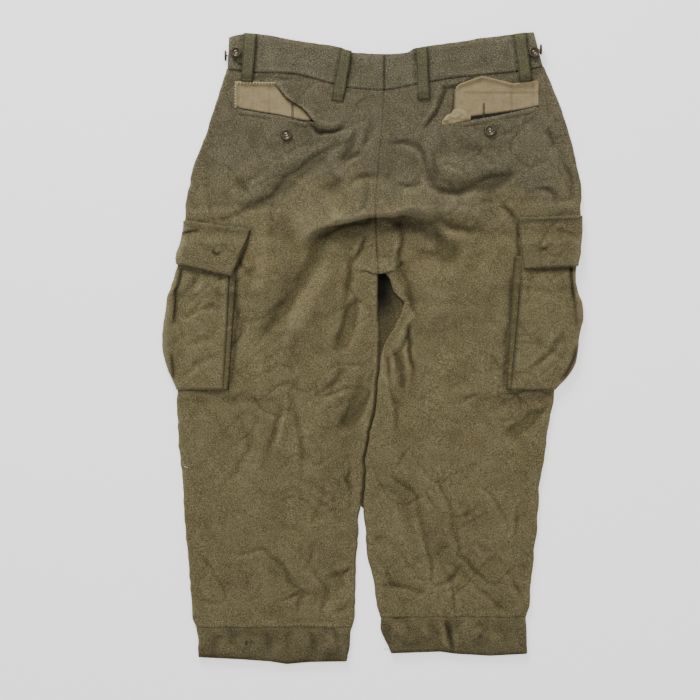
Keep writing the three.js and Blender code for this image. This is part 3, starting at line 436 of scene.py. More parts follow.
# Height of the front layer's lower face, flat but for soft creases where the back leaves room
frontCreases = table("x1 y1 x2 y2 bow rise width", [
    (-40, 296, -150, 236, -8, 1.6, 9), (70, 290, 170, 240, 8, 1.6, 9), (-60, 190, -160, 140, 6, 2.4, 12),
    (60, 196, 150, 150, -6, 2.4, 12), (-40, 120, -90, 20, 5, 2.6, 14), (70, 120, 104, 30, -5, 2.4, 14),
    (-80, -60, -110, -190, 6, 2.2, 16), (150, -200, 200, -330, 6, 2, 14), (-210, -190, -160, -260, 6, 2, 14),
    (-30, -250, -90, -330, 5, 1.2, 10), (40, -220, 90, -320, -5, 1.2, 10), (110, -40, 150, -140, 5, 1.2, 12),
])


def frontFace(x, y):
    ofLeft = x < cut["seatX"] - 12
    room = np.clip(backRelief("left", x, y) + 3, 0, 4) * ofLeft
    room = room + np.clip(backRelief("right", x, y) + 3, 0, 4) * ~ofLeft
    return floorHeight(x, y) + np.clip(foldSum(frontCreases, x, y, 0.4, 0.1), 0, room)


# Height of a row of points, which follows the waist seam at the top and the cuff seam at the bottom
def rowAt(nominal, x):
    seam = bandSeam(x) - cut["seamGap"] - cut["curveEase"]
    atCuff = fade(nominal, -388, -330) * (cuffTop("left", x) - cuffSeam["left"])
    return nominal + atCuff + smoothstep(nominal, 300, cut["rowTop"]) * (seam - cut["rowTop"])


# Rounded side of a wall: the points at an angle round the middle of the roll, on its outside and its inside
def rolled(edge, away, middle, radius, wall, angle, up):
    place = lambda r: (edge - away * (radius - r * np.cos(angle)), middle + up * r * np.sin(angle))
    return place(radius), place(radius - wall)


# Outer and inner grid of points of a flat stretch of cloth, from its outer face
def layered(x, y, z, wall):
    return [np.stack(np.broadcast_arrays(x, y, z - deep), -1) for deep in (0, wall)]


def joined(parts):
    return [np.concatenate([part[k] for part in parts], 1) for k in (0, 1)]


arcSteps = 6


# Outer and inner grid of points of one leg panel
def legGrid(side, face, step):
    sign, up = sideSign[side], 1 if face == "back" else -1
    top, low = cut["rowTop"], cuffSeam[side] + cut["seamGap"]
    nominal = np.linspace(top, low, int((top - low) / step))[:, None]
    roll = fade(nominal, cut["forkY"] - 6, cut["forkY"] + 14)
    seat = innerEdge(side, rowAt(nominal, cut["seatX"]), face)
    rim = legEdge(side, rowAt(nominal, outline(side, nominal)))
    radius, wall = cut["edgeRadius"], cut["cloth"]
    heightAt = (lambda x, y: backTop(side, x, y)) if up > 0 else frontFace
    angles = np.maximum(cut["seamGap"] / 2 / radius, quarter * np.arange(arcSteps) / arcSteps)[None, :]

    def arc(edge, away, blend, angle):
        y = rowAt(nominal, edge)
        places = rolled(edge, away, floorHeight(edge, y) + radius, radius, wall, angle, up)
        flatX = edge - away * radius * angle
        y = y + 0 * angle
        flatZ = heightAt(flatX, y)
        if up > 0:
            y = y - (1 - blend) * overhang(flatX, y, flatZ)
        return [np.stack([lerp(flatX, place[0], blend), y, lerp(flatZ - deep, place[1], blend)], -1)
                for place, deep in zip(places, (0, up * wall))]

    start = seat + sign * radius * lerp(quarter, 1, roll)
    stop = rim - sign * radius
    x = lerp(start, stop, np.linspace(0, 1, int(abs(stop - start).max() / step))[None, :])
    y = rowAt(nominal, x)
    z = heightAt(x, y)
    shift = overhang(x, y, z) if up > 0 else 0
    return joined([arc(seat, -sign, roll, angles), layered(x, y - shift, z, up * wall),
                   arc(rim, sign, 1, angles[:, ::-1])])


def placeObject(name, data):
    made = bpy.data.objects.new(name, data)
    bpy.context.scene.collection.objects.link(made)
    return made


# Mesh object from points in millimetres
def makeMesh(name, points, faces, attributes={}):
    mesh = bpy.data.meshes.new(name)
    mesh.from_pydata((np.asarray(points, float) * 0.001).tolist(), [], [list(map(int, f)) for f in faces])
    for key, values in attributes.items():
        mesh.attributes.new(key, "FLOAT", "POINT").data.foreach_set("value", np.asarray(values, np.float32))
    mesh.validate()
    mesh.polygons.foreach_set("use_smooth", [True] * len(mesh.polygons))
    return placeObject(name, mesh)


# Closed cloth wall between two sheets of points, with softly rounded borders
def shell(name, grids, quads, attributes={}, bulge=0.4):
    outer, inner = (grid.reshape(-1, 3) for grid in grids)
    count = len(outer)
    edges = np.concatenate([quads[:, [k, (k + 1) % 4]] for k in range(4)])
    owner = np.tile(np.arange(len(quads)), 4)
    key = np.sort(edges, 1) @ np.array([count, 1])
    _, first, times = np.unique(key, return_index=True, return_counts=True)
    border = first[times == 1]
    a, b = edges[border, 0], edges[border, 1]
    away = (outer[a] + outer[b]) / 2 - outer[quads[owner[border]]].mean(1)
    away /= np.linalg.norm(away, axis=1, keepdims=True) + 1e-9
    push = np.zeros_like(outer)
    np.add.at(push, a, away)
    np.add.at(push, b, away)
    rim = np.unique(np.concatenate([a, b]))
    push = push[rim] / (np.linalg.norm(push[rim], axis=1, keepdims=True) + 1e-9)
    thick = np.linalg.norm(outer[rim] - inner[rim], axis=1, keepdims=True)
    middle = (outer[rim] + inner[rim]) / 2 + push * thick * bulge
    at = np.full(count, -1)
    at[rim] = 2 * count + np.arange(len(rim))
    points = np.concatenate([outer, inner, middle])
    faces = np.concatenate([quads, quads[:, ::-1] + count, np.stack([b, a, at[a], at[b]], 1),
                            np.stack([at[b], at[a], a + count, b + count], 1)])
    corners = points[faces]
    volume = sum(np.einsum("ij,ij->i", corners[:, 0], np.cross(corners[:, k], corners[:, k + 1])).sum()
                 for k in (1, 2))
    if volume < 0:
        faces = faces[:, ::-1]
    used = np.unique(faces)
    renumbered = np.zeros(len(points), int)
    renumbered[used] = np.arange(len(used))
    data = {}
    for key, values in attributes.items():
        out, within = values if isinstance(values, tuple) else (values, values)
        data[key] = np.concatenate([out.ravel(), within.ravel(), within.ravel()[rim]])[used]
    return makeMesh(name, points[used], renumbered[faces], data)


def gridQuads(rows, columns):
    i, j = np.meshgrid(np.arange(rows - 1), np.arange(columns - 1), indexing="ij")
    at = (i * columns + j).ravel()
    return np.stack([at, at + 1, at + columns + 1, at + columns], 1)


cloths, trims = {}, {}


def attach(piece, slot, node=None):
    if not piece.data.materials:
        piece.data.materials.append(finishes[slot])
    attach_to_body(piece, "root")
    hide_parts(*([node] if node else []))


# Keeps the width, length and area of a cloth, in metres, for its declaration as a sheet
def declare(piece, grid, restsOn, hole=0):
    flat = (np.linalg.norm(np.diff(grid, axis=1), axis=2).sum(1).max() / 1000,
            np.linalg.norm(np.diff(grid, axis=0), axis=2).sum(0).max() / 1000)
    a, b, c, d = grid[:-1, :-1], grid[:-1, 1:], grid[1:, 1:], grid[1:, :-1]
    area = np.linalg.norm(np.cross(c - a, d - b), axis=2).sum() / 2e6
    area = min(area, flat[0] * flat[1]) - hole
    cloths[piece.name] = {"piece": piece, "flat": flat, "area": area, "on": restsOn}


# A piece sewn on a cloth, too narrow to be a sheet of its own
def sewOn(piece, cloth):
    trims.setdefault(cloth, []).append(piece)


# How far the points lie below the mean of their surroundings: painted shade in the hollows, and painted
# highlight on the ridges where it is below zero
def hollows(grid, reach):
    z = grid[..., 2]
    mean, span = z, 2 * reach
    for axis in (0, 1):
        pad = [(reach, reach) if k == axis else (0, 0) for k in (0, 1)]
        wide = np.cumsum(np.pad(mean, pad, mode="edge"), axis=axis)
        count = wide.shape[axis]
        ahead = np.take(wide, np.arange(span, count), axis=axis)
        mean = (ahead - np.take(wide, np.arange(count - span), axis=axis)) / span
    return np.clip((mean - z) / 2.2, -1, 1)


def edgesOf(corners):
    return zip(corners, np.roll(corners, -1, axis=0))


def inPolygon(x, y, corners):
    inside = np.zeros(np.shape(x), bool)
    for (ax, ay), (bx, by) in edgesOf(corners):
        crosses = (ay > y) != (by > y)
        with np.errstate(divide="ignore", invalid="ignore"):
            inside ^= crosses & (x < (bx - ax) * (y - ay) / (by - ay) + ax)
    return inside


# Nearest place on the polygon's edges
def nearestOn(corners, x, y):
    best, found = np.full(x.shape, 1e9), np.stack([x, y], -1)
    for (ax, ay), (bx, by) in edgesOf(corners):
        t = np.clip(((x - ax) * (bx - ax) + (y - ay) * (by - ay)) / ((bx - ax) ** 2 + (by - ay) ** 2), 0, 1)
        on = np.stack([ax + t * (bx - ax), ay + t * (by - ay)], -1)
        gap = np.hypot(x - on[..., 0], y - on[..., 1])
        found = np.where((gap < best)[..., None], on, found)
        best = np.minimum(best, gap)
    return found


def mouthLip(side, lip, x):
    return between(mouths[side], lip, x)


def mouthCorners(side):
    fine = np.linspace(mouths[side]["x"][0], mouths[side]["x"][-1], 60)
    upper, lower = (np.stack([fine, mouthLip(side, lip, fine)], 1) for lip in ("upper", "lower"))
    return np.concatenate([upper, lower[::-1]])


# Painted shade along the band's seam, less between the inner loops
def seamDark(x, most, less):
    return lerp(less, most, smoothstep(abs(x - cut["seatX"]), 40, 80))


# Painted shade along the seam of the cuff, patchy
def cuffSeamShade(side, x, y):
    return 0.2 * bell(y - cuffTop(side, x), 2.6) * (0.55 + 0.7 * softNoise(x, y, 20))


def backPanel(side):
    outer, inner = legGrid(side, "back", skin["backStep"])
    quads, corners = gridQuads(*outer.shape[:2]), mouthCorners(side)
    middle = outer.reshape(-1, 3)[quads].mean(1)
    opened = inPolygon(middle[:, 0], middle[:, 1], corners)
    border = np.intersect1d(np.unique(quads[opened]), np.unique(quads[~opened]))
    for points in (outer.reshape(-1, 3), inner.reshape(-1, 3)):
        points[border, :2] = nearestOn(corners, points[border, 0], points[border, 1])
    x, y = outer[..., 0], outer[..., 1]
    # Painted shade from the table, below the waistband's seam, along the centre seam and along the cuff seam
    shade = foldSum(paintedShadeAndSpots["back"], *bent(x, y), 0.2, 0.1)
    shade = shade + seamDark(x, 0.5, 0.25) * bell(bandSeam(x) - y, 2.6)
    seamDepth = lerp(0.45, 0.2, smoothstep(y, 188, 206)) * (y > cut["forkY"])
    shade = shade + seamDepth * bell(abs(x - innerEdge(side, y)), 1.5) + cuffSeamShade(side, x, y)
    # The hollow and ground attributes carry painted shade of narrow and broad hollows
    data = {"hollow": hollows(outer, 3), "ground": hollows(outer, 12), "shade": shade}
    made = shell(f"backPanel_{side}", (outer, inner), quads[~opened], data)
    attach(made, "wool", f"back_leg_{side}")
    declare(made, outer, [f"frontPanel_{side}"], opened.sum() * skin["backStep"] ** 2 / 1e6)
    return made


# Painted shadow: the inside of the front layer is dark where it shows in the gap between the legs, and the
# whole layer is a little darker through its ground
def frontPanel(side):
    outer, inner = legGrid(side, "front", skin["frontStep"])
    x, y = outer[..., 0], outer[..., 1]
    deep = bell(np.maximum(abs(x - innerEdge(side, y, "front")) - 6, 0), 30) * (y < cut["forkY"] + 12)
    deep = deep * lerp(0.5, 1.08, smoothstep(y, 24, 80))
    data = {"hollow": 0.5 * hollows(outer, 3), "ground": 0 * x + 0.2, "shade": (0 * x, deep)}
    made = shell(f"frontPanel_{side}", (outer, inner), gridQuads(*outer.shape[:2]), data)
    attach(made, "wool", f"front_leg_{side}")
    declare(made, outer, ["floor"])
    return made


# Sockets as numbers: an expression on them adds Math nodes
class Sock:
    def __init__(self, tree, link):
        self.tree, self.link = tree, link

    def maths(self, operation, first, second):
        node = self.tree.nodes.new("ShaderNodeMath")
        node.operation = operation
        for slot, value in zip(node.inputs, (first, second)):
            fill(self.tree, slot, value)
        return Sock(self.tree, node.outputs[0])

    def __add__(self, other):
        return self.maths("ADD", self, other)

    def __sub__(self, other):
        return self.maths("SUBTRACT", self, other)

    def __mul__(self, other):
        return self.maths("MULTIPLY", self, other)

    def __radd__(self, other):
        return self.maths("ADD", other, self)

    def __rsub__(self, other):
        return self.maths("SUBTRACT", other, self)

    def atLeast(self, other):
        return self.maths("MAXIMUM", self, other)

    def atMost(self, other):
        return self.maths("MINIMUM", self, other)

    # Another output of the same node
    def other(self, key):
        return Sock(self.tree, findSocket(self.link.node.outputs, key))


def fill(tree, slot, value):
    if isinstance(value, Sock):
        tree.links.new(value.link, slot)
    else:
        slot.default_value = (*value, 1) if slot.type == "RGBA" and len(value) == 3 else value


def findSocket(sockets, key):
    if isinstance(key, int):
        return sockets[key]
    return next(s for s in sockets if s.enabled and key in (s.identifier, s.name))


# Any node by its type, its settings and the values or links of its sockets
def addNode(tree, kind, settings={}, values={}, out=0):
    node = tree.nodes.new(kind)
    for key, value in settings.items():
        if key == "stops":
            ramp = node.color_ramp
            while len(ramp.elements) < len(value):
                ramp.elements.new(0.5)
            for stop, (position, colour) in zip(ramp.elements, value):
                stop.position, stop.color = position, (*colour, 1)
        else:
            setattr(node, key, value)
    for key, value in values.items():
        fill(tree, findSocket(node.inputs, key), value)
    return Sock(tree, findSocket(node.outputs, out))


# One material being built, with its patterns in millimetres of the object's own coordinates
class Finish:
    def __init__(self, name):
        self.material = bpy.data.materials.new(name)
        self.material.use_nodes = True
        self.tree = self.material.node_tree
        self.shader = self.tree.nodes["Principled BSDF"]
        self.mm = self.scaled(self.node("TexCoord", {}, {}, "Object"), 1000)

    def node(self, kind, settings, values, out=0):
        return addNode(self.tree, "ShaderNode" + kind, settings, values, out)

    def noise(self, size, detail=2.0, rough=0.5, stretch=None, warp=0.0):
        vector = self.mm
        if stretch:
            turn, scale = stretch
            values = {"Vector": vector, "Rotation": (0, 0, turn), "Scale": scale}
            vector = self.node("Mapping", {}, values, "Vector")
        values = {"Vector": vector, "Scale": 1 / size, "Detail": detail, "Roughness": rough,
                  "Distortion": warp}
        return self.node("TexNoise", {}, values)

    def mix(self, factor, a, b, blend="MIX"):
        values = {"Factor_Float": factor, "A_Color": a, "B_Color": b}
        return self.node("Mix", {"data_type": "RGBA", "blend_type": blend}, values, "Result_Color")

    def scaled(self, vector, factor):
        return self.node("VectorMath", {"operation": "SCALE"}, {"Vector": vector, "Scale": factor}, "Vector")

    def step(self, value, low, high):
        settings = {"interpolation_type": "SMOOTHSTEP"}
        return self.node("MapRange", settings, {"Value": value, "From Min": low, "From Max": high})

    def axis(self, name):
        return self.node("SeparateXYZ", {}, {"Vector": self.mm}, name)

    def attribute(self, name):
        return self.node("Attribute", {"attribute_name": name}, {}, "Fac")

    def ramp(self, value, tones, at=(0.0, 0.5, 1.0)):
        return self.node("ValToRGB", {"stops": list(zip(at, tones))}, {"Fac": value}, "Color")

    # Colour darkened by the shade attribute: mostly painted shade, with some darker tone of the cloth
    def shaded(self, colour):
        return self.scaled(colour, 1 - self.attribute("shade").atLeast(0).atMost(1.06) * 0.92)

    # Links what varies over the surface and sets the rest on the shader itself
    def close(self, colour, relief, constant, rough=None):
        varying = {"Base Color": colour}
        if relief:
            values = dict(zip(("Height", "Distance", "Strength"), relief))
            varying["Normal"] = self.node("Bump", {}, values, "Normal")
        if rough:
            varying["Roughness"] = rough
        for key, value in varying.items():
            self.tree.links.new(value.link, self.shader.inputs[key])
        for key, value in constant.items():
            self.shader.inputs[key].default_value = value
        return self.material


# Dark, middle and light fibres of each wool, how large its patterns are, and how its hairs are turned
wool = {
    "leg": ((0.046, 0.038, 0.017), (0.136, 0.112, 0.056), (0.300, 0.258, 0.152)),
    "seat": ((0.035, 0.030, 0.017), (0.101, 0.086, 0.051), (0.238, 0.210, 0.142)),
    "band": ((0.035, 0.032, 0.019), (0.099, 0.088, 0.054), (0.222, 0.202, 0.138)),
    "loop": ((0.032, 0.031, 0.016), (0.082, 0.076, 0.042), (0.170, 0.160, 0.100)),
    "fibres": (2.6, 1.3, 0.55), "hairs": (0.7, -0.9), "clouds": (70, 17), "seatEdge": 45, "stains": 38,
    "tints": 1.9, "napDepth": 0.0007, "seatFrom": 130, "seatTo": 290, "dirt": (1.06, 0.97, 0.84),
    "warm": (1.05, 0.99, 0.94), "cool": (0.95, 1.02, 1.02),
    "shader": {"Roughness": 0.95, "Specular IOR Level": 0.15,
               "Sheen Weight": 0.18, "Sheen Roughness": 0.5, "Sheen Tint": (0.55, 0.47, 0.30, 1)},
}


# Felted melange wool with soft clouds and brownish stains; painted shade in the hollows, painted highlight on
# the ridges, and the painted shade of the shade attribute
def woolFinish(name, tones, second=None, speck=1.0):
    f = Finish(name)
    coarse, medium, fine = (f.noise(*way) for way in zip(wool["fibres"], (1.5, 1.5, 1)))
    hair, hairAcross = (f.noise(1.0, 1, 0.5, (turn, (0.35, 1.7, 1)), 0.6) for turn in wool["hairs"])
    grain = (coarse - 0.5) * 0.4 + (medium - 0.5) * 1.5 + (fine - 0.5) * 0.8
    grain = grain + (hair - 0.5) * 0.5 + (hairAcross - 0.5) * 0.5
    wide, narrow = (f.noise(size, 2) - 0.5 for size in wool["clouds"])
    cloud = wide * 0.20 + narrow * 0.22
    # Painted shade from the hollow and ground attributes: darker in the hollows, lighter on the ridges
    tone = 0.5 + grain * speck + cloud - f.attribute("hollow") * 0.3 - f.attribute("ground").atLeast(0) * 0.16
    colour = f.ramp(tone, tones)
    if second:
        upward = f.axis("Y") + (f.noise(wool["seatEdge"], 2) - 0.5) * 160
        colour = f.mix(f.step(upward, wool["seatFrom"], wool["seatTo"]), colour, f.ramp(tone, second))
    brownish = f.step(f.noise(wool["stains"], 3, 0.6), 0.5, 0.72) * 0.35
    colour = f.mix(brownish, colour, f.mix(1.0, colour, wool["dirt"], "MULTIPLY"))
    tint = f.mix(f.step(f.noise(wool["tints"], 1), 0.36, 0.64), wool["warm"], wool["cool"])
    colour = f.shaded(f.mix(1.0, colour, tint, "MULTIPLY"))
    nap = medium * 0.6 + fine * 0.5 + hair * 0.5 + hairAcross * 0.5 + coarse * 0.4
    return f.close(colour, (nap, wool["napDepth"], 0.8), wool["shader"])


cotton = {
    "tones": ((0.140, 0.106, 0.050), (0.272, 0.214, 0.112), (0.400, 0.330, 0.195)), "pitch": 0.75,
    "shader": {"Roughness": 0.85, "Sheen Weight": 0.1, "Specular IOR Level": 0.25},
}


# Plain woven cotton: fine yarns both ways, slubs and soft stains, with painted shade from the hollow, ground
# and shade attributes
def cottonFinish(name):
    f = Finish(name)
    warp, weft = (f.node("Math", {"operation": "SINE"},
                         {0: (f.axis(way) + (f.noise(6, 1) - 0.5) * 0.6) * (2 * math.pi / cotton["pitch"])})
                  for way in ("X", "Y"))
    slub = f.noise(2.0, 2, 0.5, (0, (0.2, 2.2, 1))) + f.noise(2.0, 2, 0.5, (0, (2.2, 0.2, 1))) - 1
    tone = 0.5 + slub * 0.5 + (f.noise(16, 3, 0.6) - 0.5) * 0.5 + warp * 0.03 + weft * 0.03
    # Painted shade in the hollows
    tone = tone - f.attribute("hollow") * 0.2 - f.attribute("ground") * 0.5
    relief = (warp * 0.5 + weft * 0.5 + slub, 0.00015, 0.6)
    return f.close(f.shaded(f.ramp(tone, cotton["tones"])), relief, cotton["shader"])


horn = {
    "tones": ((0.022, 0.017, 0.009), (0.050, 0.040, 0.024), (0.110, 0.090, 0.055)),
    "dust": (0.16, 0.14, 0.11),
    "shader": {"Specular IOR Level": 0.5, "Specular Tint": (1, 0.86, 0.64, 1)},
}


# Dark moulded button: faint horn-like streaks and scratches, dust in the dish
def buttonFinish(name):
    f = Finish(name)
    streak = f.noise(3.5, 3, 0.6, (0.5, (0.5, 1.6, 1)), 1.0)
    dust = f.step(f.noise(1.2, 3), 0.55, 0.75) * 0.25
    colour = f.mix(dust, f.ramp(streak, horn["tones"], (0.3, 0.55, 0.8)), horn["dust"])
    rough = 0.28 + dust * 1.2 + (f.noise(0.8, 2) - 0.5) * 0.12
    return f.close(colour, (f.noise(0.9, 3), 0.00004, 0.5), horn["shader"], rough)


# Sewing thread: a tight twist
def threadFinish(name, colour):
    f = Finish(name)
    twist = f.noise(0.35, 1, 0.5, (0.6, (0.5, 2.5, 1)))
    tinted = f.mix(twist, tuple(c * 0.6 for c in colour), tuple(min(1, c * 1.5) for c in colour))
    return f.close(tinted, (twist, 0.0001, 0.7), {"Roughness": 0.6})


finishes = {
    "wool": woolFinish("wool", wool["leg"], wool["seat"], 0.9),
    "waist_wool": woolFinish("waistWool", wool["band"], None, 1.2),
    "loop_wool": woolFinish("loopWool", wool["loop"]),
    "cotton": cottonFinish("cotton"),
    "buttons": buttonFinish("buttonHorn"),
}
threadColours = {"Dark": (0.050, 0.046, 0.028), "Olive": (0.13, 0.115, 0.065), "Pale": (0.42, 0.36, 0.24),
                 "Lint": (0.75, 0.72, 0.65)}
threads = {key.lower(): threadFinish("thread" + key, colour) for key, colour in threadColours.items()}
print("finishes")

panels = [make(side) for side in sideSign for make in (backPanel, frontPanel)]
print("panels", [len(p.data.polygons) for p in panels])


# Makes a cloth from its two grids; shade is a number or a function of the points of the outer face.
# A piece that is sewn is kept with the cloth it lies on, any other is declared as a sheet of its own
# Edge adds painted shade along the piece's sides; rise darkens the whole piece as painted shade through the
# hollow and ground attributes
def clothPiece(name, grids, slot, node, on, rise=0.0, shade=0.0, edge=0.0, sewn=False):
    outer = grids[0]
    level = 0 * outer[..., 2]
    columns = np.arange(outer.shape[1])
    fromSide = np.minimum(columns, columns[::-1])[None, :] + level
    if callable(shade):
        shade = shade(*np.moveaxis(outer, -1, 0))
    shade = shade + edge * fade(fromSide, 0.2, 1.6)
    data = {"hollow": hollows(outer, 3) + rise, "ground": level + rise, "shade": shade}
    made = shell(name, grids, gridQuads(*outer.shape[:2]), data)
    attach(made, slot, node)
    if sewn:
        sewOn(made, on)
    else:
        declare(made, outer, [on])


# Belt loops from the upper to the lower end; lift is how far the middle stands off the band
loops = [
    {"name": "outer_left", "topX": -177, "topY": 455, "lowX": -182, "lowY": 386, "lift": 2.6},
    {"name": "inner_left", "topX": -38, "topY": 431, "lowX": -51, "lowY": 358, "lift": 1},
    {"name": "inner_right", "topX": 71, "topY": 434, "lowX": 74, "lowY": 361, "lift": 1},
    {"name": "outer_right", "topX": 213, "topY": 455, "lowX": 222, "lowY": 386, "lift": 2.6},
]
frontLoopX = {"left": -92, "right": 124}
onBand = bandLevel + cut["seamGap"]
# How far a loop dips into its seams, and over which part of its length at each end
loopEnds = {"dip": 1.2, "low": (0.84, 0.98), "top": (0, 0.06)}


def loopHeight(loop, t):
    height = onBand + loop["lift"] * np.minimum(1, 2.2 * np.sin(math.pi * t))
    dip = loopEnds["dip"]
    return height - dip * smoothstep(t, *loopEnds["low"]) - dip * fade(t, *loopEnds["top"])


# Waistband: four halves, the back ones meeting at the centre seam
band = {
    "left": {"top": -208, "seam": -210}, "right": {"top": 234, "seam": 247}, "rows": 22, "step": 3,
    "topRoll": 1.4, "seamRoll": 0.9, "frontRoll": 0.6, "highest": 0.15, "seamDark": 0.5, "centreDark": 0.7,
    "loopDark": 0.5,
}
bandCreases = table("x1 y1 x2 y2 bow rise width", [
    (-60, 436, -64, 386, 2, -0.8, 6), (-28, 428, -32, 380, 2, -0.9, 5), (60, 430, 62, 384, 2, -0.9, 5),
    (86, 436, 90, 388, -2, -0.8, 6), (-165, 446, -160, 404, 3, -0.9, 6), (196, 446, 200, 404, -3, -0.9, 6),
    (-150, 410, -70, 400, 3, -0.6, 5), (100, 404, 180, 410, -3, -0.6, 5), (130, 428, 186, 432, 3, -0.5, 9),
    (-140, 432, -90, 424, -3, -0.5, 9),
])


# A band that is turned over at its outer side, and at its inner one where a seat is given
def turnedBand(sign, up, x, y, z, yAt, lowered, rim, seat=None):
    radius, wall = cut["bandRadius"], cut["bandCloth"]
    start = cut["seamGap"] / 2 / (radius - wall)
    angles = np.maximum(start, quarter * np.arange(arcSteps) / arcSteps)[None, :]

    def arc(edge, away, angle, ease):
        places = rolled(edge, away, radius, radius, wall, angle, up)
        return [np.stack([px, yAt(edge) + 0 * px, pz - ease * np.sin(angle)], -1) for px, pz in places]

    sides = [layered(x, y, z, up * wall), arc(rim, sign, angles[:, ::-1], lowered[:, -1:])]
    if seat is not None:
        sides.insert(0, arc(seat, -sign, angles, lowered[:, :1]))
    return joined(sides)


def bandGrid(side, face):
    sign, up = sideSign[side], 1 if face == "back" else -1
    part = np.linspace(0, 1, band["rows"])[:, None]
    rim = lerp(band[side]["top"], band[side]["seam"], part)
    drop = cut["frontDrop"] if up < 0 else 0
    yAt = lambda x: lerp(bandTop(x) - drop, bandSeam(x), part)
    seat = cut["seatX"] + sign * cut["seamGap"] / 2
    columns = np.linspace(0, 1, int(abs(rim.max() - seat) / band["step"]))[None, :]
    x = lerp(seat + 0 * rim, rim - sign * cut["bandRadius"], columns)
    y = yAt(x)
    roll = band["topRoll"] * fade(bandTop(x) - y, 0, 5)
    roll = roll + band["seamRoll"] * fade(y - bandSeam(x), 0, 4)
    if up > 0:
        wave = foldSum(bandCreases, x, y, 0.35, 0.1) + 0.35 * softNoise(x, y, 26) - 0.3
        z = bandLevel - roll + np.minimum(wave * smoothstep(abs(x - rim), 6, 24), band["highest"])
    else:
        spot = {"y": 415, "halfX": cut["loopWidth"] / 2, "halfY": 40}
        overLoops = np.maximum(*(zone(x, y, {**spot, "x": at}, 26) for at in frontLoopX.values()))
        z = layer * overLoops + band["frontRoll"] * roll
    return turnedBand(sign, up, x, y, z, yAt, up * roll, rim)


# Painted shade beside the belt loops and along the seams, and random darker clouds
def bandShade(x, y, z):
    shade = band["seamDark"] * bell(y - bandSeam(x), 1.8) * seamDark(x, 1, 0.45)
    shade = shade + band["centreDark"] * bell(x - cut["seatX"], 1.6)
    for loop in loops:
        middle = lerp(loop["lowX"], loop["topX"], (y - loop["lowY"]) / (loop["topY"] - loop["lowY"]))
        away = abs(x - middle) - cut["loopWidth"] / 2
        shade = shade + band["loopDark"] * bell(np.maximum(away - 1, 0), 2.6) * (away > 0)
    return shade + 0.12 * np.clip(softNoise(x, y, 30) + softNoise(x, y, 12), 0, 1)


for side in sideSign:
    clothPiece(f"bandBack_{side}", bandGrid(side, "back"), "waist_wool", f"waistband_back_{side}",
               f"bandFront_{side}", shade=bandShade)
    clothPiece(f"bandFront_{side}", bandGrid(side, "front"), "waist_wool", f"waistband_front_{side}", "floor")

# Cuffs: a band round each hem, soft and dented; left and right are the places that set its height
cuff = {
    "left": -140, "right": 120, "rows": 20, "step": 3, "hemRoll": 1.3, "seamRoll": 0.9, "frontRoll": 0.5,
    "dents": 1.1, "lowest": -2.9, "highest": 0.9, "dark": 0.24, "hemDark": 0.18, "clouds": 0.16,
}
cuffCreases = table("x1 y1 x2 y2 bow rise width", [
    (104, -394, 116, -438, 2, -3.6, 4.5), (86, -394, 96, -420, -3, -1.8, 7), (24, -392, 60, -408, 3, -1.8, 8),
    (34, -418, 66, -430, -3, -1.3, 6), (140, -398, 170, -410, 3, -1.6, 8), (176, -400, 196, -432, 2, -1.4, 7),
    (-56, -408, -46, -440, 2, -2, 6), (-92, -410, -80, -446, -2, -2.4, 6),
    (-122, -408, -128, -440, 2, -1.6, 6), (-160, -412, -150, -440, 2, -1.4, 8),
    (-200, -410, -206, -436, 2, -1.2, 8), (-232, -412, -226, -440, 2, -1, 7),
])


def cuffGrid(side, face):
    sign, up, radius = sideSign[side], 1 if face == "back" else -1, cut["bandRadius"]
    part = np.linspace(0, 1, cuff["rows"])[:, None]
    yAt = lambda x: lerp(cuffTop(side, x), hem(x), part)
    seat, rim = innerEdge(side, yAt(cuff[side])), outline(side, yAt(cuff[side]))
    columns = np.linspace(0, 1, int(abs(rim - seat).max() / cuff["step"]))[None, :]
    x = lerp(seat + sign * radius, rim - sign * radius, columns)
    y = yAt(x)
    roll = cuff["hemRoll"] * fade(y - hem(x), 0, 5)
    roll = roll + cuff["seamRoll"] * fade(cuffTop(side, x) - y, 0, 4)
    sides = smoothstep(np.minimum(abs(x - seat), abs(x - rim)), 4, 26)
    z = cuff["frontRoll"] * roll * sides
    if up > 0:
        wave = cuff["dents"] * foldSum(cuffCreases, *bent(x, y), 0.35, 0.15, 0.4)
        wave = np.clip(wave + 0.5 * softNoise(x, y, 24) - 0.4, cuff["lowest"], cuff["highest"])
        z = bandLevel - roll + wave * sides
    return turnedBand(sign, up, x, y, z, yAt, roll * (up > 0), rim, seat)


# Cuffs are darker than the legs and darker still towards the hem, with painted shade along the seam and in the
# creases, a few dark spots and random clouds
def cuffShade(side, x, y):
    clouds = cuff["clouds"] * (softNoise(x, y, 22) + 0.7 * softNoise(x, y, 9))
    dirt = cuff["dark"] + cuff["hemDark"] * bell(y - hem(x), 9) + cuffSeamShade(side, x, y)
    # Painted shade and spots from the table, and the cuff's darker tone
    return foldSum(paintedShadeAndSpots["cuff"], x, y, 0.2, 0.1) + dirt + clouds


for side in sideSign:
    clothPiece(f"cuffBack_{side}", cuffGrid(side, "back"), "wool", f"cuff_back_{side}", f"cuffFront_{side}",
               shade=lambda x, y, z: cuffShade(side, x, y))
    clothPiece(f"cuffFront_{side}", cuffGrid(side, "front"), "wool", f"cuff_front_{side}", "floor")
print("waistband and cuffs")

# Around is the way over the cloth from the middle of the side edge, below zero on the front
sideArc = cut["edgeRadius"] * quarter


def aroundTo(side, x, y):
    return sideSign[side] * (legEdge(side, y) - x) - cut["edgeRadius"] + sideArc


def xAround(side, y, around):
    return legEdge(side, y) - sideSign[side] * (cut["edgeRadius"] + abs(around) - sideArc)


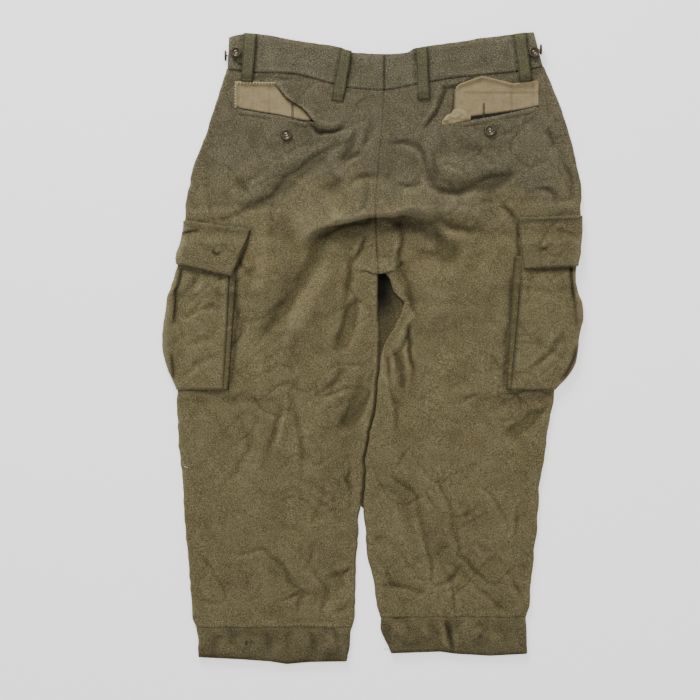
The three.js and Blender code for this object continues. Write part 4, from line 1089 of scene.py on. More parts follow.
# Points at a height over the leg's skin
def overSkin(side, y, around, lift):
    radius, edge, x = cut["edgeRadius"], legEdge(side, y), xAround(side, y, around)
    angle = np.clip(around / radius, -quarter, quarter)
    flatZ = np.where(around > 0, backTop(side, x, y) + lift, floorHeight(x, y) - lift)
    rollX = edge - sideSign[side] * (radius - (radius + lift) * np.cos(angle))
    rollZ = floorHeight(edge, y) + radius + (radius + lift) * np.sin(angle)
    onRoll = abs(around) <= sideArc
    return np.stack([np.where(onRoll, rollX, x), y + 0 * x, np.where(onRoll, rollZ, flatZ)], -1)


def wrapped(side, y, around, top):
    return [overSkin(side, y, around, top - deep) for deep in (0, cut["cloth"])]


def stations(reach, flatSteps, rollSteps=5):
    flat = lerp(reach, sideArc, np.arange(flatSteps)[None, :] / flatSteps)
    roll = sideArc * np.arange(rollSteps, -rollSteps - 1, -1)[None, :] / rollSteps + 0 * reach
    return np.concatenate([flat, roll, -flat[:, ::-1]], 1)


# Cargo pockets. The bellows strip comes out from under the face on the back and lies beside it on the front;
# the flaps' studs press through them as a round knob, with painted shade round its lower left. The painted
# shade marks show only on the back, which is above a height; the edges and the whole bellows strip get painted
# shade too
pocket = {
    "rows": 70, "columns": 34, "dents": 1.6, "lowest": -2.2, "highest": 0.6,
    "edgeDrop": 0.7, "edgeDark": 0.45, "shallowLow": 0.4, "rampUp": 50, "backAbove": 4,
}
bellows = {"rows": 60, "tuck": 4, "wider": 2, "below": 0.4, "rise": 0.35, "edgeDark": 0.6}
flap = {
    "rows": 44, "columns": 56, "puff": 0.5, "edgeDrop": 0.8, "dark": 0.12, "edgeDark": 0.3, "backAbove": 8,
}
studs = {
    "left": {"x": -225, "y": 141, "dark": 0.75}, "right": {"x": 248, "y": 148, "dark": 0.4},
    "radius": 5, "width": 2, "rise": 1.5,
}
pocketCreases = table("x1 y1 x2 y2 bow rise width", [
    (-253, 106, -275, 81, 3, -1.5, 5), (-275, 45, -218, 58, 4, -1.3, 4), (-268, 42, -252, 66, 1, -1.4, 3.5),
    (-278, -44, -226, -10, 4, -1.4, 5), (-282, 112, -292, 84, 3, -1.5, 5), (-292, 84, -289, 38, 3, -1.2, 4),
    (-222, 112, -226, 66, 2, -0.9, 5), (-240, 84, -214, 70, 2, -0.8, 5), (-262, 6, -230, 14, 3, -0.8, 5),
    (281, 26, 226, -30, 4, -1.6, 4.5), (288, 104, 290, 64, 2, -1.6, 4.5), (270, 170, 296, 160, 3, -1, 4.5),
    (238, 142, 258, 168, 2, -1.4, 4), (226, 108, 222, 60, 2, -1, 5), (275, -34, 262, -52, 2, -1.5, 5),
    (232, 86, 282, 62, 4, -0.9, 6), (212, 10, 244, 4, 3, -0.8, 4),
])


def pocketLift(side, y, around):
    up = smoothstep(y, cut["pocketBottom"], cut["pocketBottom"] + pocket["rampUp"])
    rise = smoothstep(around, 16, 44) * lerp(pocket["shallowLow"], 1, up)
    x = xAround(side, y, around)
    dents = pocket["dents"] * foldSum(pocketCreases, *bent(x, y), 0.35, 0.2, 0.25, 1.3)
    dents = np.clip(dents + 0.4 * softNoise(x, y, 23) - 0.2, pocket["lowest"], pocket["highest"])
    onBack = smoothstep(around, 8, 24)
    return (layer + cut["gussetRise"] * rise) * pocketCover(y) + dents * onBack * (0.35 + 0.65 * rise)


# How far round the leg one of the pocket's lines lies
def lineReach(side, line, y):
    return aroundTo(side, between(pocketLines[side], line, y), y)


def pocketRows(rows):
    return np.linspace(cut["pocketTop"], cut["pocketBottom"], rows)[:, None]


def pocketGrid(side):
    y = pocketRows(pocket["rows"])
    reach = lineReach(side, "face", y)
    around = stations(reach, pocket["columns"])
    border = fade(np.minimum(reach - abs(around), y - cut["pocketBottom"]), 0, 4)
    return wrapped(side, y, around, pocketLift(side, y, around) - pocket["edgeDrop"] * border)


def bellowsGrid(side, face):
    turn, tuck, wider, below = 1, bellows["tuck"], 0, cut["cloth"] + bellows["below"]
    if face == "front":
        turn, tuck, wider, below = -1, -cut["seamGap"], bellows["wider"], 0
    y = pocketRows(bellows["rows"])
    near, far = lineReach(side, "face", y) - tuck, lineReach(side, "bellows", y) + wider
    t = np.linspace(0, 1, 8)[None, :]
    high = np.maximum(pocketLift(side, y, turn * near) - below, layer)
    return wrapped(side, y, turn * lerp(near, far, t), lerp(high, layer, smoothstep(t, 0.2, 1)))


# A corner value of the flap at a part of the way from its upper to its lower edge
def flapAt(side, corner, part):
    top, low = ("sideTop", "sideLow") if corner == "side" else (f"innerTop{corner}", f"innerLow{corner}")
    return lerp(flapCorners[side][top], flapCorners[side][low], part)


def flapGrid(side):
    part = np.linspace(0, 1, flap["rows"])[:, None]
    sideY, innerY = flapAt(side, "side", part), flapAt(side, "Y", part)
    reach = aroundTo(side, flapAt(side, "X", part), innerY)
    around = stations(reach, flap["columns"])
    y = lerp(sideY, innerY, abs(around) / reach)
    away = np.hypot(xAround(side, y, around) - studs[side]["x"], y - studs[side]["y"])
    knob = studs["rise"] * fade(away, 0.5 * studs["radius"], 1.5 * studs["radius"]) * (around > 0)
    border = fade(np.minimum(reach - abs(around), sideY - flapCorners[side]["sideLow"]), 0, 4)
    puff = (flap["puff"] - flap["edgeDrop"] * border) * (around > 6)
    lift = pocketLift(side, y, around) + cut["seamGap"] * np.where(around > 0, 2, 1) + knob + puff
    return wrapped(side, y, around, lift + cut["cloth"])


# Painted shade round the lower left of a flap's knob
def knobShade(side, x, y):
    dx, dy = x - studs[side]["x"], y - studs[side]["y"]
    away = np.hypot(dx, dy)
    turnedTo = 0.5 - 0.5 * (dx + dy) / (1.4 * away + 0.01)
    return studs[side]["dark"] * turnedTo * bell(away - studs["radius"], studs["width"])


# Painted shade of the flap's marks and knob, on the back only, and the flap a little darker all over
def flapShade(side, x, y, z):
    dark = foldSum(paintedShadeAndSpots["flap"], x, y, 0.2, 0.1) + knobShade(side, x, y)
    return dark * (z > flap["backAbove"]) + flap["dark"]


for side in sideSign:
    panel = f"backPanel_{side}"
    clothPiece(f"pocket_{side}", pocketGrid(side), "wool", f"cargo_pocket_{side}", panel,
               shade=lambda x, y, z: foldSum(paintedShadeAndSpots["pocket"], x, y, 0.2, 0.1) * (z > pocket["backAbove"]),
               edge=pocket["edgeDark"])
    clothPiece(f"bellowsBack_{side}", bellowsGrid(side, "back"), "wool", f"cargo_bellows_back_{side}", panel,
               bellows["rise"], edge=bellows["edgeDark"])
    clothPiece(f"bellowsFront_{side}", bellowsGrid(side, "front"), "wool", f"cargo_bellows_front_{side}",
               "floor", bellows["rise"])
    clothPiece(f"flap_{side}", flapGrid(side), "wool", f"cargo_flap_{side}", f"pocket_{side}",
               shade=lambda x, y, z: flapShade(side, x, y, z), edge=flap["edgeDark"])
print("cargo pockets")


# Strip along a middle line: half widths and the height of its underside at each point
def stripGrid(path, half, height, wall, across=7, crown=0.35):
    ahead = np.gradient(path, axis=0)
    ahead /= np.linalg.norm(ahead, axis=1, keepdims=True)
    normal = np.stack([-ahead[:, 1], ahead[:, 0]], 1)
    s = np.linspace(-1, 1, across)
    half = np.broadcast_to(half, len(path))
    xy = path[:, None, :] + normal[:, None, :] * (half[:, None] * s[None, :])[..., None]
    low = height[:, None] + 0 * s[None, :] if np.ndim(height) == 1 else height
    high = low + wall - crown * s[None, :] ** 4
    return [np.concatenate([xy, z[..., None]], 2) for z in (high, low)]


for loop in loops:
    name, t = loop["name"], np.linspace(0, 1, 40)
    path = np.stack([lerp(loop["topX"], loop["lowX"], t), lerp(loop["topY"], loop["lowY"], t)], 1)
    half = cut["loopWidth"] / 2 + 0.7 * softNoise(t * 70, loop["topX"] + 0 * t, 12)
    half = half + 0.5 * smoothstep(t, 0.85, 1)
    height = loopHeight(loop, t) + 0.5 * softNoise(t * 70, loop["lowX"] + 0 * t, 9)
    clothPiece(f"loop_{name}", stripGrid(path, half, height, cut["cloth"], 11), "loop_wool",
               f"belt_loop_{name}", f"bandBack_{name.split('_')[1]}", edge=0.5)
for side, x in frontLoopX.items():
    path = np.stack([np.full(20, x), np.linspace(curved(bandLine, "top", x) - 4, bandSeam(x) + 3, 20)], 1)
    clothPiece(f"frontLoop_{side}", stripGrid(path, cut["loopWidth"] / 2, np.zeros(20), cut["cloth"]),
               "loop_wool", f"front_loop_{side}", "floor")

# Side adjuster tabs with a pointed tip
tabs = {
    "left": {"root": -172, "tip": -204, "middle": 427}, "right": {"root": 208, "tip": 231, "middle": 430},
    "half": 15, "point": 9,
}
for side, sign in sideSign.items():
    tab = tabs[side]
    x = np.linspace(tab["root"], tab["tip"] - sign * 0.4, 24)
    half = tabs["half"] * np.clip((sign * (tab["tip"] - x)) / tabs["point"], 0.06, 1)
    path = np.stack([x, np.full(24, float(tab["middle"]))], 1)
    clothPiece(f"tab_{side}", stripGrid(path, half, np.full(24, onBand), cut["cloth"], 13), "loop_wool",
               f"side_tab_{side}", f"bandBack_{side}")
print("loops and tabs")

# Hip pockets: cotton facing that comes up over the wool at its sewn edges, welt below, bag cloth on the right
facing = {
    "left": {"from": -199, "to": mouths["left"]["x"][-1] + 9, "low": 320, "top": 386, "sag": (-196, -150),
             "open": (-192, -140, 4)},
    "right": {"from": mouths["right"]["x"][0] - 9, "to": 240, "low": 312, "open": (119, 126)},
    "rise": 3.1, "turn": 7, "dark": 1.05, "gapWidth": 1.7, "lipDark": 0.75, "endDark": 0.7, "seamX": 200.7,
}


def facingGrid(side):
    own = facing[side]
    s, t = np.linspace(0, 1, 70)[None, :], np.linspace(0, 1, 40)[:, None]
    x = lerp(own["from"], own["to"], s) + 0 * t
    if side == "left":
        top, fromSide = own["top"] - 1.5 * smoothstep(x, *own["sag"]), x - own["from"]
        openTop = plateau(x, *own["open"])
    else:
        top, fromSide = mouthLip(side, "upper", x) + 1.5, own["to"] - x
        openTop = smoothstep(x, *own["open"])
    y = lerp(own["low"], top, 1 - t)
    atSide = fade(fromSide, 0, facing["turn"]) * smoothstep(y, 344, 352)
    up = np.maximum(atSide, fade(top - y, 0, facing["turn"]) * openTop)
    wave = 0.35 * softNoise(x, y, 17) + 0.2 * softNoise(x + 9, y, 7)
    return layered(x, y, hipLevel - layer + facing["rise"] * up + wave * (1 - up), cut["cotton"])


# Painted shadow in the gap along the lower lip, under the overhanging lip and at its end, and dark lines along
# the facing's own seams
def facingShade(side, x, y):
    gape = 1.6 if side == "left" else 1 + 4.6 * smoothstep(x, 120, 134) * fade(x, 150, 236)
    shade = facing["dark"] * bell(np.maximum(y - mouthLip(side, "lower", x) - gape, 0), facing["gapWidth"])
    if side == "left":
        under = bell(np.maximum(mouthLip(side, "upper", x) - y - 1.5, 0), 2.2) * smoothstep(x, -142, -134)
        return (shade + facing["lipDark"] * under) * smoothstep(x, -200, -194) + 0.16 * bell(x + 150, 1.6)
    shade = shade + facing["endDark"] * bell(np.maximum(x - 117, 0), 3)
    shade = shade + 0.35 * bell(y - 370, 1.4) * smoothstep(x, 130, 134)
    return shade + 0.3 * bell(x - facing["seamX"], 1.4) * (y < 379)


for side in sideSign:
    clothPiece(f"facing_{side}", facingGrid(side), "cotton", f"hip_facing_{side}", f"frontPanel_{side}",
               shade=lambda x, y, z: facingShade(side, x, y))

# Cloth of the fork seam that hangs over the gap between the legs, its upper end tucked under the panels
forkPatch = {
    "x": (-15, 33), "low": 108.5, "high": 158, "narrower": 0.35, "sag": 5, "curl": 1.6, "wall": 1.6,
    "dark": 0.55, "overlap": 5, "lift": (1.6, -3.4), "sideDrop": 2.2,
}


def forkGrid():
    s, t = np.linspace(0, 1, 30)[None, :], np.linspace(0, 1, 24)[:, None]
    narrower = forkPatch["narrower"] * t
    x = lerp(*forkPatch["x"], s) * (1 - narrower) + sum(forkPatch["x"]) / 2 * narrower
    y = lerp(forkPatch["low"], forkPatch["high"], t) + forkPatch["sag"] * abs(2 * s - 1) ** 2.5 * (1 - t)
    y = y + 0.8 * np.sin(9 * s)
    seam = innerEdge("left", y)
    lowLeft = backTop("left", np.minimum(x, seam - forkPatch["overlap"]), y)
    lowRight = backTop("right", np.maximum(x, innerEdge("right", y) + forkPatch["overlap"]), y)
    ground = lerp(lowLeft, lowRight, smoothstep(x - seam, -3, 9))
    sides = smoothstep(np.minimum(s, 1 - s), 0, 0.3)
    z = ground + lerp(*forkPatch["lift"], smoothstep(t, 0.1, 1)) * sides
    z = z - forkPatch["sideDrop"] * (1 - sides)
    z = z + forkPatch["curl"] * fade(t, 0, 0.14) * (0.4 + abs(2 * s - 1))
    return layered(x, y, z, forkPatch["wall"])


# Painted shade along the seam down its middle
clothPiece("forkPatch", forkGrid(), "wool", None, "backPanel_left", sewn=True,
           shade=lambda x, y, z: forkPatch["dark"] * bell(x - innerEdge("left", y), 1.3))

# The welts' dark is a little painted shade
welts = {
    "left": (-194, -96), "right": (132, 237), "width": 7, "below": 1.5, "tilt": 0.7, "wall": 1.6,
    "dark": 0.06, "sunk": 1.5,
}
for side in sideSign:
    x = np.linspace(*welts[side], 60)
    path = np.stack([x, mouthLip(side, "lower", x) - welts["below"] - welts["width"] / 2], 1)
    height = hipLevel - welts["sunk"] + welts["tilt"] * np.linspace(-1, 1, 7)[None, :] + np.zeros((60, 1))
    clothPiece(f"welt_{side}", stripGrid(path, welts["width"] / 2, height, welts["wall"], 7, 1.1), "wool",
               f"hip_welt_{side}", f"backPanel_{side}", shade=welts["dark"], sewn=True)

bag = {"from": 101, "to": 142, "low": 322, "slope": 0.19, "least": 3, "most": 20}


def bagGrid():
    s, t = np.linspace(0, 1, 44)[None, :], np.linspace(0, 1, 22)[:, None]
    x = lerp(bag["from"], bag["to"], s)
    tall = lerp(bag["least"], bag["most"], np.sin(math.pi * (0.06 + 0.88 * s)) ** 0.8)
    y = bag["low"] + (x - bag["from"]) * bag["slope"] + tall * t
    crumple = 1.9 + 1.5 * softNoise(x * 1.5 + y, y * 1.2, 8) + 0.8 * softNoise(x, y, 4)
    z = hipLevel - cut["cloth"] + np.sin(math.pi * t) ** 0.7 * crumple
    return layered(x, y, z + cut["cotton"], cut["cotton"])


clothPiece("bag_right", bagGrid(), "cotton", "hip_bag_right", "facing_right")

fly = {"left": -10, "right": 34, "top": 371, "low": 196, "corner": 26}
y = np.linspace(fly["top"], fly["low"], 60)[:, None]
drop = np.clip((fly["low"] + fly["corner"] - y) / fly["corner"], 0, 0.999)
rightEdge = fly["right"] - fly["corner"] * (1 - np.sqrt(1 - drop ** 2))
x = lerp(fly["left"], rightEdge, np.linspace(0, 1, 13)[None, :])
clothPiece("fly", layered(x, y, 0 * x, -cut["cloth"]), "wool", "fly_placket", "floor")
print("hip pockets and fly")

# Buttons: turned section with four holes sunk into the dish, and the thread through them.
# A share is of the button's radius, and the side buttons are on edge
button = {
    "steps": 56, "holeAt": 2.5, "holeRadius": 1.15, "holeDepth": 1.5, "thread": 0.42, "neck": 2.4,
    "top": table("share z", [(0, 1.9), (0.3, 1.9), (0.5, 2.0), (0.58, 2.35), (0.66, 2.95), (0.74, 3.2),
                             (0.84, 3.2), (0.93, 2.95), (0.98, 2.3), (1, 1.5)]),
    "under": table("share z", [(0.93, 0.7), (0.72, 0), (0.35, 0), (0, 0)]),
    "places": [
        {"name": "hip_left", "x": -125, "y": 309, "z": hipLevel + 0.3, "radius": 8.7, "spin": 0.5},
        {"name": "hip_right", "x": 170, "y": 315, "z": hipLevel + 0.3, "radius": 8.7, "spin": 0.2},
        {"name": "tab_left", "x": -197.5, "y": 428, "z": bandLevel + layer + 1.4, "radius": 8,
         "turn": -9, "spin": 0.3},
        {"name": "tab_right", "x": 233.4, "y": 428, "z": bandLevel + layer + 0.3, "radius": 8,
         "turn": 9, "spin": 0.7},
        {"name": "side_left", "x": -208.6, "y": 423, "z": 8.3, "radius": 8, "turn": -90, "spin": 0.4},
        {"name": "side_right", "x": 239.6, "y": 432, "z": 8.3, "radius": 8, "turn": 90, "spin": 0.1},
    ],
}


# Moves points from the middle of a button's underside to its place; the side buttons stand on a thread neck
def turned(points, place):
    cos, sin = math.cos(place["spin"]), math.sin(place["spin"])
    spinning = np.array([[cos, -sin, 0], [sin, cos, 0], [0, 0, 1]])
    tilt = math.radians(place.get("turn", 0))
    cos, sin = math.cos(tilt), math.sin(tilt)
    tilting = np.array([[cos, 0, sin], [0, 1, 0], [-sin, 0, cos]])
    neck = button["neck"] if "side" in place["name"] else 0
    return (np.asarray(points) + [0, 0, neck]) @ spinning.T @ tilting.T + [place["x"], place["y"], place["z"]]


def outwardMesh(name, points, faces):
    made, work = makeMesh(name, points, faces), bmesh.new()
    work.from_mesh(made.data)
    bmesh.ops.recalc_face_normals(work, faces=work.faces)
    work.to_mesh(made.data)
    work.free()
    return made


def holes(points):
    for k in range(4):
        atX, atY = (button["holeAt"] * way(quarter * (k + 0.5)) for way in (math.cos, math.sin))
        away = np.hypot(points[..., 0] - atX, points[..., 1] - atY)
        sunk = button["holeDepth"] * fade(away, button["holeRadius"] * 0.7, button["holeRadius"] * 1.15)
        points[..., 2] -= np.where(points[..., 2] > 1.6, sunk, 0)
    return points


# A turned piece, closed by a middle point at both ends
def closedTurn(name, radii, heights, place):
    steps, rows = button["steps"], len(radii) - 2
    angle = 2 * math.pi * np.arange(steps) / steps
    points = np.stack([np.outer(radii[1:-1], np.cos(angle)), np.outer(radii[1:-1], np.sin(angle)),
                       np.outer(heights[1:-1], np.ones(steps))], -1)
    points = np.concatenate([holes(points).reshape(-1, 3), [[0, 0, heights[0]], [0, 0, heights[-1]]]])
    i, j = np.meshgrid(np.arange(rows - 1) * steps, np.arange(steps), indexing="ij")
    after = (j + 1) % steps
    faces = np.stack([i + steps + j, i + steps + after, i + after, i + j], -1).reshape(-1, 4).tolist()
    top, last = rows * steps, (rows - 1) * steps
    faces += [(top, (k + 1) % steps, k) for k in range(steps)]
    faces += [(top + 1, last + k, last + (k + 1) % steps) for k in range(steps)]
    return outwardMesh(name, turned(points, place), faces)


# Round thread along lines
def threadAlong(name, lines, radius, material, sides=8):
    points, faces = [], []
    for line in lines:
        ahead = np.gradient(line, axis=0)
        ahead /= np.linalg.norm(ahead, axis=1, keepdims=True)
        aside = np.cross(ahead, [0, 0, 1.0])
        aside /= np.linalg.norm(aside, axis=1, keepdims=True) + 1e-9
        upward = np.cross(aside, ahead)
        base, last = len(points), len(points) + (len(line) - 1) * sides
        for k in range(len(line)):
            for a in 2 * math.pi * np.arange(sides) / sides:
                points.append(line[k] + radius * (math.cos(a) * aside[k] + math.sin(a) * upward[k]))
        for k in range(base, last, sides):
            ring = [(s, (s + 1) % sides) for s in range(sides)]
            faces += [(k + s, k + t, k + sides + t, k + sides + s) for s, t in ring]
        faces += [tuple(base + s for s in range(sides))[::-1], tuple(last + s for s in range(sides))]
    made = outwardMesh(name, points, faces)
    made.data.materials.append(material)
    return made


threadTurns = []
across = button["holeAt"] * math.cos(quarter / 2)
for place in button["places"]:
    share = np.concatenate([np.linspace(0, 0.58, 16), np.linspace(0.62, 1, 12)])
    radii = np.concatenate([share, button["under"]["share"]]) * place["radius"]
    heights = np.concatenate([between(button["top"], "z", share), button["under"]["z"]])
    kind, side = place["name"].split("_")
    attach(closedTurn(f"button_{kind}_{side}", radii, heights, place), "buttons", f"{kind}_button_{side}")
    u = np.linspace(-1, 1, 9)
    hump = 1.15 + 0.95 * np.clip(1.25 - u ** 4 * 1.25, 0, 1)
    for atY in (-across + 0.25, -across - 0.35, across + 0.25, across - 0.35):
        threadTurns.append(turned(np.stack([across * u, atY + 0 * u, hump], 1), place))
    if kind == "side":
        twist, z = np.linspace(0, 1.4, 6), np.linspace(-button["neck"], 0.2, 6)
        for a in 2 * math.pi * np.arange(5) / 5:
            strand = np.stack([0.7 * np.cos(a + twist), 0.7 * np.sin(a + twist), z], 1)
            threadTurns.append(turned(strand, place))
attach(threadAlong("thread_buttons", threadTurns, button["thread"], threads["pale"]), "buttons")
print("buttons")


# One short rounded stitch for each pitch of the drawn lines, leaning a little at random; sizes in metres
def stitchTree():
    tree = bpy.data.node_groups.new("stitches", "GeometryNodeTree")
    defaults = {
        "Lines": ("Geometry", None), "Pitch": ("Float", 0.004), "Length": ("Float", 0.003),
        "Width": ("Float", 0.0008), "Turn": ("Float", 0.0), "Lean": ("Float", 0.1), "Seed": ("Int", 3),
        "Thread": ("Material", None),
    }
    ports = {}
    for label, (kind, value) in defaults.items():
        port = tree.interface.new_socket(label, in_out="INPUT", socket_type="NodeSocket" + kind)
        if value is not None:
            port.default_value = value
        ports[label] = port.identifier
    tree.interface.new_socket("Stitches", in_out="OUTPUT", socket_type="NodeSocketGeometry")
    add = lambda kind, values, settings={}, out=0: addNode(tree, kind, settings, values, out)
    given = {label: add("NodeGroupInput", {}, out=label) for label in defaults}
    spread = add("GeometryNodeCurveToPoints", {"Curve": given["Lines"], "Length": given["Pitch"]},
                 {"mode": "LENGTH"})
    stitch = add("GeometryNodeMeshIcoSphere", {"Radius": 0.5, "Subdivisions": 1})
    size = add("ShaderNodeCombineXYZ", {"X": given["Length"], "Y": given["Width"], "Z": given["Width"]})
    shaped = add("GeometryNodeTransform", {"Geometry": stitch, "Scale": size})
    along = add("FunctionNodeAlignRotationToVector", {"Vector": spread.other("Tangent")}, {"axis": "X"})
    reach = {"Min": given["Lean"] * -1, "Max": given["Lean"], "Seed": given["Seed"]}
    chance = add("FunctionNodeRandomValue", reach, {"data_type": "FLOAT"}, "Value")
    leaning = add("ShaderNodeCombineXYZ", {"Z": given["Turn"] + chance})
    leaning = add("FunctionNodeEulerToRotation", {0: leaning})
    turn = add("FunctionNodeRotateRotation", {"Rotation": along, "Rotate By": leaning},
               {"rotation_space": "LOCAL"})
    place = add("GeometryNodeInstanceOnPoints",
                {"Points": spread.other("Points"), "Instance": shaped, "Rotation": turn})
    real = add("GeometryNodeRealizeInstances", {0: place})
    dyed = add("GeometryNodeSetMaterial", {"Geometry": real, "Material": given["Thread"]})
    tree.links.new(dyed.link, tree.nodes.new("NodeGroupOutput").inputs[0])
    return tree, ports


stitches, stitchPorts = stitchTree()
# Kinds of stitch: sizes in millimetres, turned and leaning in radians
seam = {"Pitch": 3.6, "Length": 2.6, "Width": 0.75, "Turn": 0.0, "Lean": 0.08}
stitchKinds = {
    "seam": seam,
    "loop": {**seam, "Pitch": 3.0, "Length": 2.2, "Width": 0.7},
    "bound": {"Pitch": 0.8, "Length": 1.7, "Width": 0.6, "Turn": quarter, "Lean": 0.15},
    "overcast": {"Pitch": 4.1, "Length": 5.2, "Width": 1.2, "Turn": quarter, "Lean": 0.3},
    "facing": {**seam, "Pitch": 3.0, "Length": 2.2, "Width": 0.5, "Lean": 0.1},
    "fleck": {"Pitch": 2.0, "Length": 2.6, "Width": 1.4, "Turn": 0.4, "Lean": 0.8},
}


# Sews all the lines of one kind, makes them a plain mesh and keeps them with their cloth
def sew(name, lines, kind, thread, slot, cloth, seed):
    curve = bpy.data.curves.new(name, "CURVE")
    curve.dimensions = "3D"
    for line in lines:
        spline = curve.splines.new("POLY")
        spline.points.add(len(line) - 1)
        spline.points.foreach_set("co", np.concatenate([line / 1000, np.ones((len(line), 1))], 1).ravel())
    drawn = placeObject(name, curve)
    modifier = drawn.modifiers.new("stitches", "NODES")
    modifier.node_group = stitches
    for label, value in {**stitchKinds[kind], "Seed": seed, "Thread": threads[thread]}.items():
        modifier[stitchPorts[label]] = value / 1000 if label in ("Pitch", "Length", "Width") else value
    graph = bpy.context.evaluated_depsgraph_get()
    mesh = bpy.data.meshes.new_from_object(drawn.evaluated_get(graph), depsgraph=graph)
    bpy.data.objects.remove(drawn)
    mesh.polygons.foreach_set("use_smooth", [True] * len(mesh.polygons))
    made = placeObject(name, mesh)
    attach(made, slot)
    sewOn(made, cloth)


def lineOf(x, y, z):
    return np.stack(np.broadcast_arrays(*(np.asarray(v, float) for v in (x, y, z))), 1)


def onBack(side, x, y, lift=0.1):
    return lineOf(x, y, backTop(side, x, y) + lift)


# Line through a few points, finely divided
def route(points, step=2.0):
    points = np.asarray(points, float)
    far = np.concatenate([[0], np.cumsum(np.hypot(*np.diff(points, axis=0).T))])
    t = np.linspace(0, far[-1], max(2, int(far[-1] / step)))
    return np.interp(t, far, points[:, 0]), np.interp(t, far, points[:, 1])


# Two rows round a cuff: below its seam and above its hem
def cuffRows(side, fromEnd, seamZ, fromHem, hemZ):
    sign, low = sideSign[side], cuffSeam[side]
    x = np.linspace(innerEdge(side, low) + sign * fromEnd, outline(side, low) - sign * fromEnd, 100)
    return [lineOf(x, cuffTop(side, x) - inset["cuffSeam"], seamZ), lineOf(x, hem(x) + fromHem, hemZ)]


# How far each row lies from the seam or the edge that it follows
inset = {
    "seam": 3.2, "bandTop": 5.5, "cuffSeam": 3, "pocketSide": 2.5, "pocketLow": 3.5, "loopSide": 2.6,
    "loopLow": 2.5, "flap": (2.0, 7.5),
}
rows = []
for side, sign in sideSign.items():
    x = np.linspace(cut["seatX"] + sign * 3, band[side]["seam"] - sign * 8, 120)
    rows.append(lineOf(x, bandSeam(x) + inset["seam"], bandLevel - 0.35))
    rows.append(lineOf(x, bandTop(x) - inset["bandTop"], bandLevel - 0.25))
    y = np.linspace(cut["rowTop"] - 30, 216, 110)
    rows.append(onBack(side, innerEdge(side, y) + sign * inset["seam"], y))
sew("stitches_waist", rows, "seam", "olive", "waist_wool", "bandBack_left", 3)

# Flaps: two rows round each, a near and a far one, and the rows of the pockets and the cuffs
def flapRows(side, away):
    corner = flapCorners[side]
    upper, lower = (aroundTo(side, corner[f"inner{end}X"], corner[f"inner{end}Y"]) for end in ("Top", "Low"))
    tall = corner["sideTop"] - corner["sideLow"]
    t, share = np.linspace(0, 1, 60) * (1 - away / tall), np.linspace(0, 1, 90)
    drawn = []
    for part, around in ((away * 0.8 / tall + 0 * share, share * (upper - away)),
                         (1 - away / tall + 0 * share, share * (lower - away)),
                         (t, lerp(upper, lower, t) - away)):
        y = lerp(flapAt(side, "side", part), flapAt(side, "Y", part), abs(around) / lerp(upper, lower, part))
        lift = pocketLift(side, y, around) + 2 * cut["seamGap"] + cut["cloth"] + 0.45
        drawn.append(overSkin(side, y, around, lift))
    return drawn


rows = []
for side in sideSign:
    rows += [row for away in inset["flap"] for row in flapRows(side, away)]
    y = np.linspace(108, cut["pocketBottom"] + 3, 110)
    reach = lineReach(side, "face", y) - inset["pocketSide"]
    rows.append(overSkin(side, y, reach, pocketLift(side, y, reach)))
    around = np.linspace(0.05, 1, 80) * reach[-1]
    low = cut["pocketBottom"] + inset["pocketLow"] + 0 * around
    rows.append(overSkin(side, low, around, pocketLift(side, low, around) - 0.1))
    rows += cuffRows(side, 5, bandLevel - 0.5, 5, bandLevel - 0.7)
sew("stitches_legs", rows, "seam", "olive", "wool", "backPanel_left", 5)

rows = []
for loop in loops:
    t = np.linspace(0.04, 0.96, 50)
    for aside in (-1, 1):
        x = lerp(loop["topX"], loop["lowX"], t) + aside * (cut["loopWidth"] / 2 - inset["loopSide"])
        rows.append(lineOf(x, lerp(loop["topY"], loop["lowY"], t), loopHeight(loop, t) + cut["cloth"] - 0.05))
    x = loop["lowX"] + np.linspace(-1, 1, 12) * (cut["loopWidth"] / 2 - 2)
    rows.append(lineOf(x, loop["lowY"] + inset["loopLow"], onBand + cut["cloth"] - 1.1))
sew("stitches_loops", rows, "loop", "olive", "loop_wool", "bandBack_right", 7)

# Bound buttonholes, overcast edges and seams of the facings
onCotton = hipLevel - cut["cloth"]
bars = []
for side, x in buttonholeX.items():
    low = mouthLip(side, "lower", x) + 0.5
    bars += [lineOf(x + aside, np.linspace(low, low + 22, 40), onCotton + 0.05) for aside in (-0.95, 0.95)]
sew("stitches_buttonholes", bars, "bound", "dark", "cotton", "facing_left", 11)
edges = [lineOf(-198.6, np.linspace(349, 379, 30), hipLevel + 0.7),
         lineOf(np.linspace(-195, -146, 46), 383, hipLevel + 0.9)]
sew("stitches_overcast", edges, "overcast", "pale", "cotton", "facing_left", 13)
rows = [lineOf(*route([(236.5, 352), (236.5, 382), (206, 378.5)]), hipLevel + 1.0),
        lineOf(-154, np.linspace(338.5, 380.5, 30), onCotton + 0.1),
        lineOf(facing["seamX"], np.linspace(342, 379, 30), onCotton + 0.1)]
sew("stitches_facing", rows, "facing", "pale", "cotton", "facing_right", 17)

# Front: curved row beside the fly and rows of the cuffs
flyRow = {"inset": 5, "top": 4, "left": 4, "steps": 14}
bend = np.linspace(0, quarter, flyRow["steps"])
turnRadius = fly["corner"] - flyRow["inset"]
middleX, middleY = fly["right"] - fly["corner"], fly["low"] + fly["corner"]
corners = [(fly["right"] - flyRow["inset"], fly["top"] - flyRow["top"])]
corners += [(middleX + turnRadius * math.cos(a), middleY - turnRadius * math.sin(a)) for a in bend]
corners += [(fly["left"] + flyRow["left"], fly["low"] + flyRow["inset"])]
rows = [lineOf(*route(corners), 0.15)]
for side in sideSign:
    rows += cuffRows(side, 6, 0.5, 5.5, 0.2)
sew("stitches_front", rows, "seam", "olive", "wool", "frontPanel_left", 19)

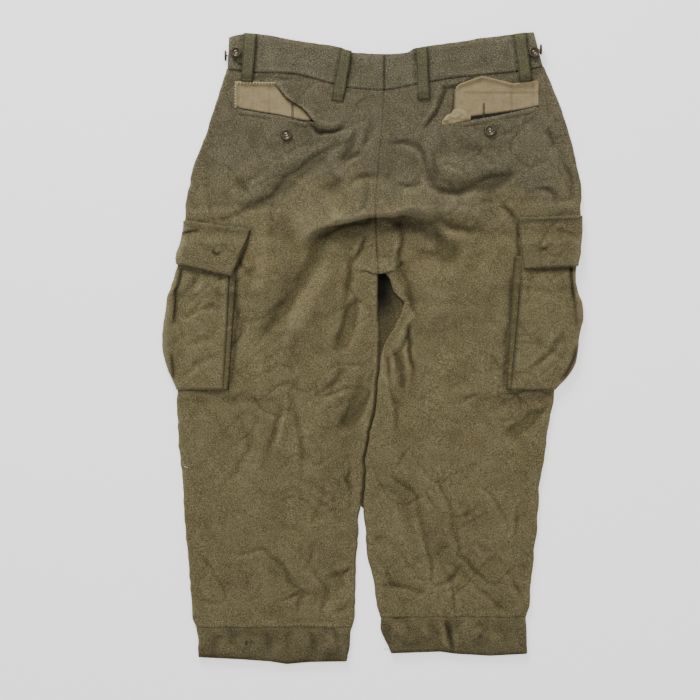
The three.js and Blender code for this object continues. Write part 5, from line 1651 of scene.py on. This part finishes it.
# A fleck of lint on the left leg
fleck = {"x": (-271.5, -268.5), "y": (-172.0, -173.0), "lift": 0.3}
line = onBack("left", np.array(fleck["x"]), np.array(fleck["y"]), fleck["lift"])
sew("lint", [line], "fleck", "lint", "wool", "backPanel_left", 23)
print("sewing")

print("cloth declared", len(cloths))

# Camera straight down from far away, framed as the photograph
view = {"width": 1015, "x": -32.6, "y": -2.9, "height": 4200, "sensor": 36}
camera = placeObject("camera", bpy.data.cameras.new("camera"))
camera.data.sensor_width = view["sensor"]
camera.data.lens = view["sensor"] * view["height"] / view["width"]
camera.data.clip_end = 20
camera.location = [view[key] * 0.001 for key in ("x", "y", "height")]
bpy.context.scene.camera = camera

# Pale floor, and soft light that comes mostly from above the waist; places and sizes in metres
studio = {
    "floor": (0.93, 0.93, 0.93), "reach": 6, "level": -0.0004, "glow": 0.9, "world": 0.42,
    "lamps": [
        {"name": "key", "from": (-0.8, 2.5, 1.35), "size": 1.1, "power": 92},
        {"name": "top", "from": (0.2, 0.6, 2.9), "size": 1.6, "power": 24},
        {"name": "fill", "from": (1.8, -1.6, 1.8), "size": 2.2, "power": 5},
    ],
}
floorMesh = bpy.data.meshes.new("floor")
floorMesh.from_pydata([(x * studio["reach"], y * studio["reach"], studio["level"])
                       for x, y in ((-1, -1), (1, -1), (1, 1), (-1, 1))], [], [(0, 1, 2, 3)])
paper = Finish("paper")
pale = paper.mix(paper.noise(400, 2), tuple(c * 0.985 for c in studio["floor"]), studio["floor"])
glow = {"Roughness": 0.9, "Emission Color": (1, 1, 1, 1), "Emission Strength": studio["glow"]}
floorMesh.materials.append(paper.close(pale, None, glow))
placeObject("floor", floorMesh)

world = bpy.data.worlds.new("world")
world.use_nodes = True
background = world.node_tree.nodes["Background"].inputs
background["Color"].default_value = (1, 1, 1, 1)
background["Strength"].default_value = studio["world"]
bpy.context.scene.world = world
for lamp in studio["lamps"]:
    light = placeObject(lamp["name"], bpy.data.lights.new(lamp["name"], "AREA"))
    light.data.size, light.data.energy = lamp["size"], lamp["power"]
    light.location = lamp["from"]
    light.rotation_euler = (-Vector(lamp["from"])).to_track_quat("-Z", "Y").to_euler()
print("camera and light")
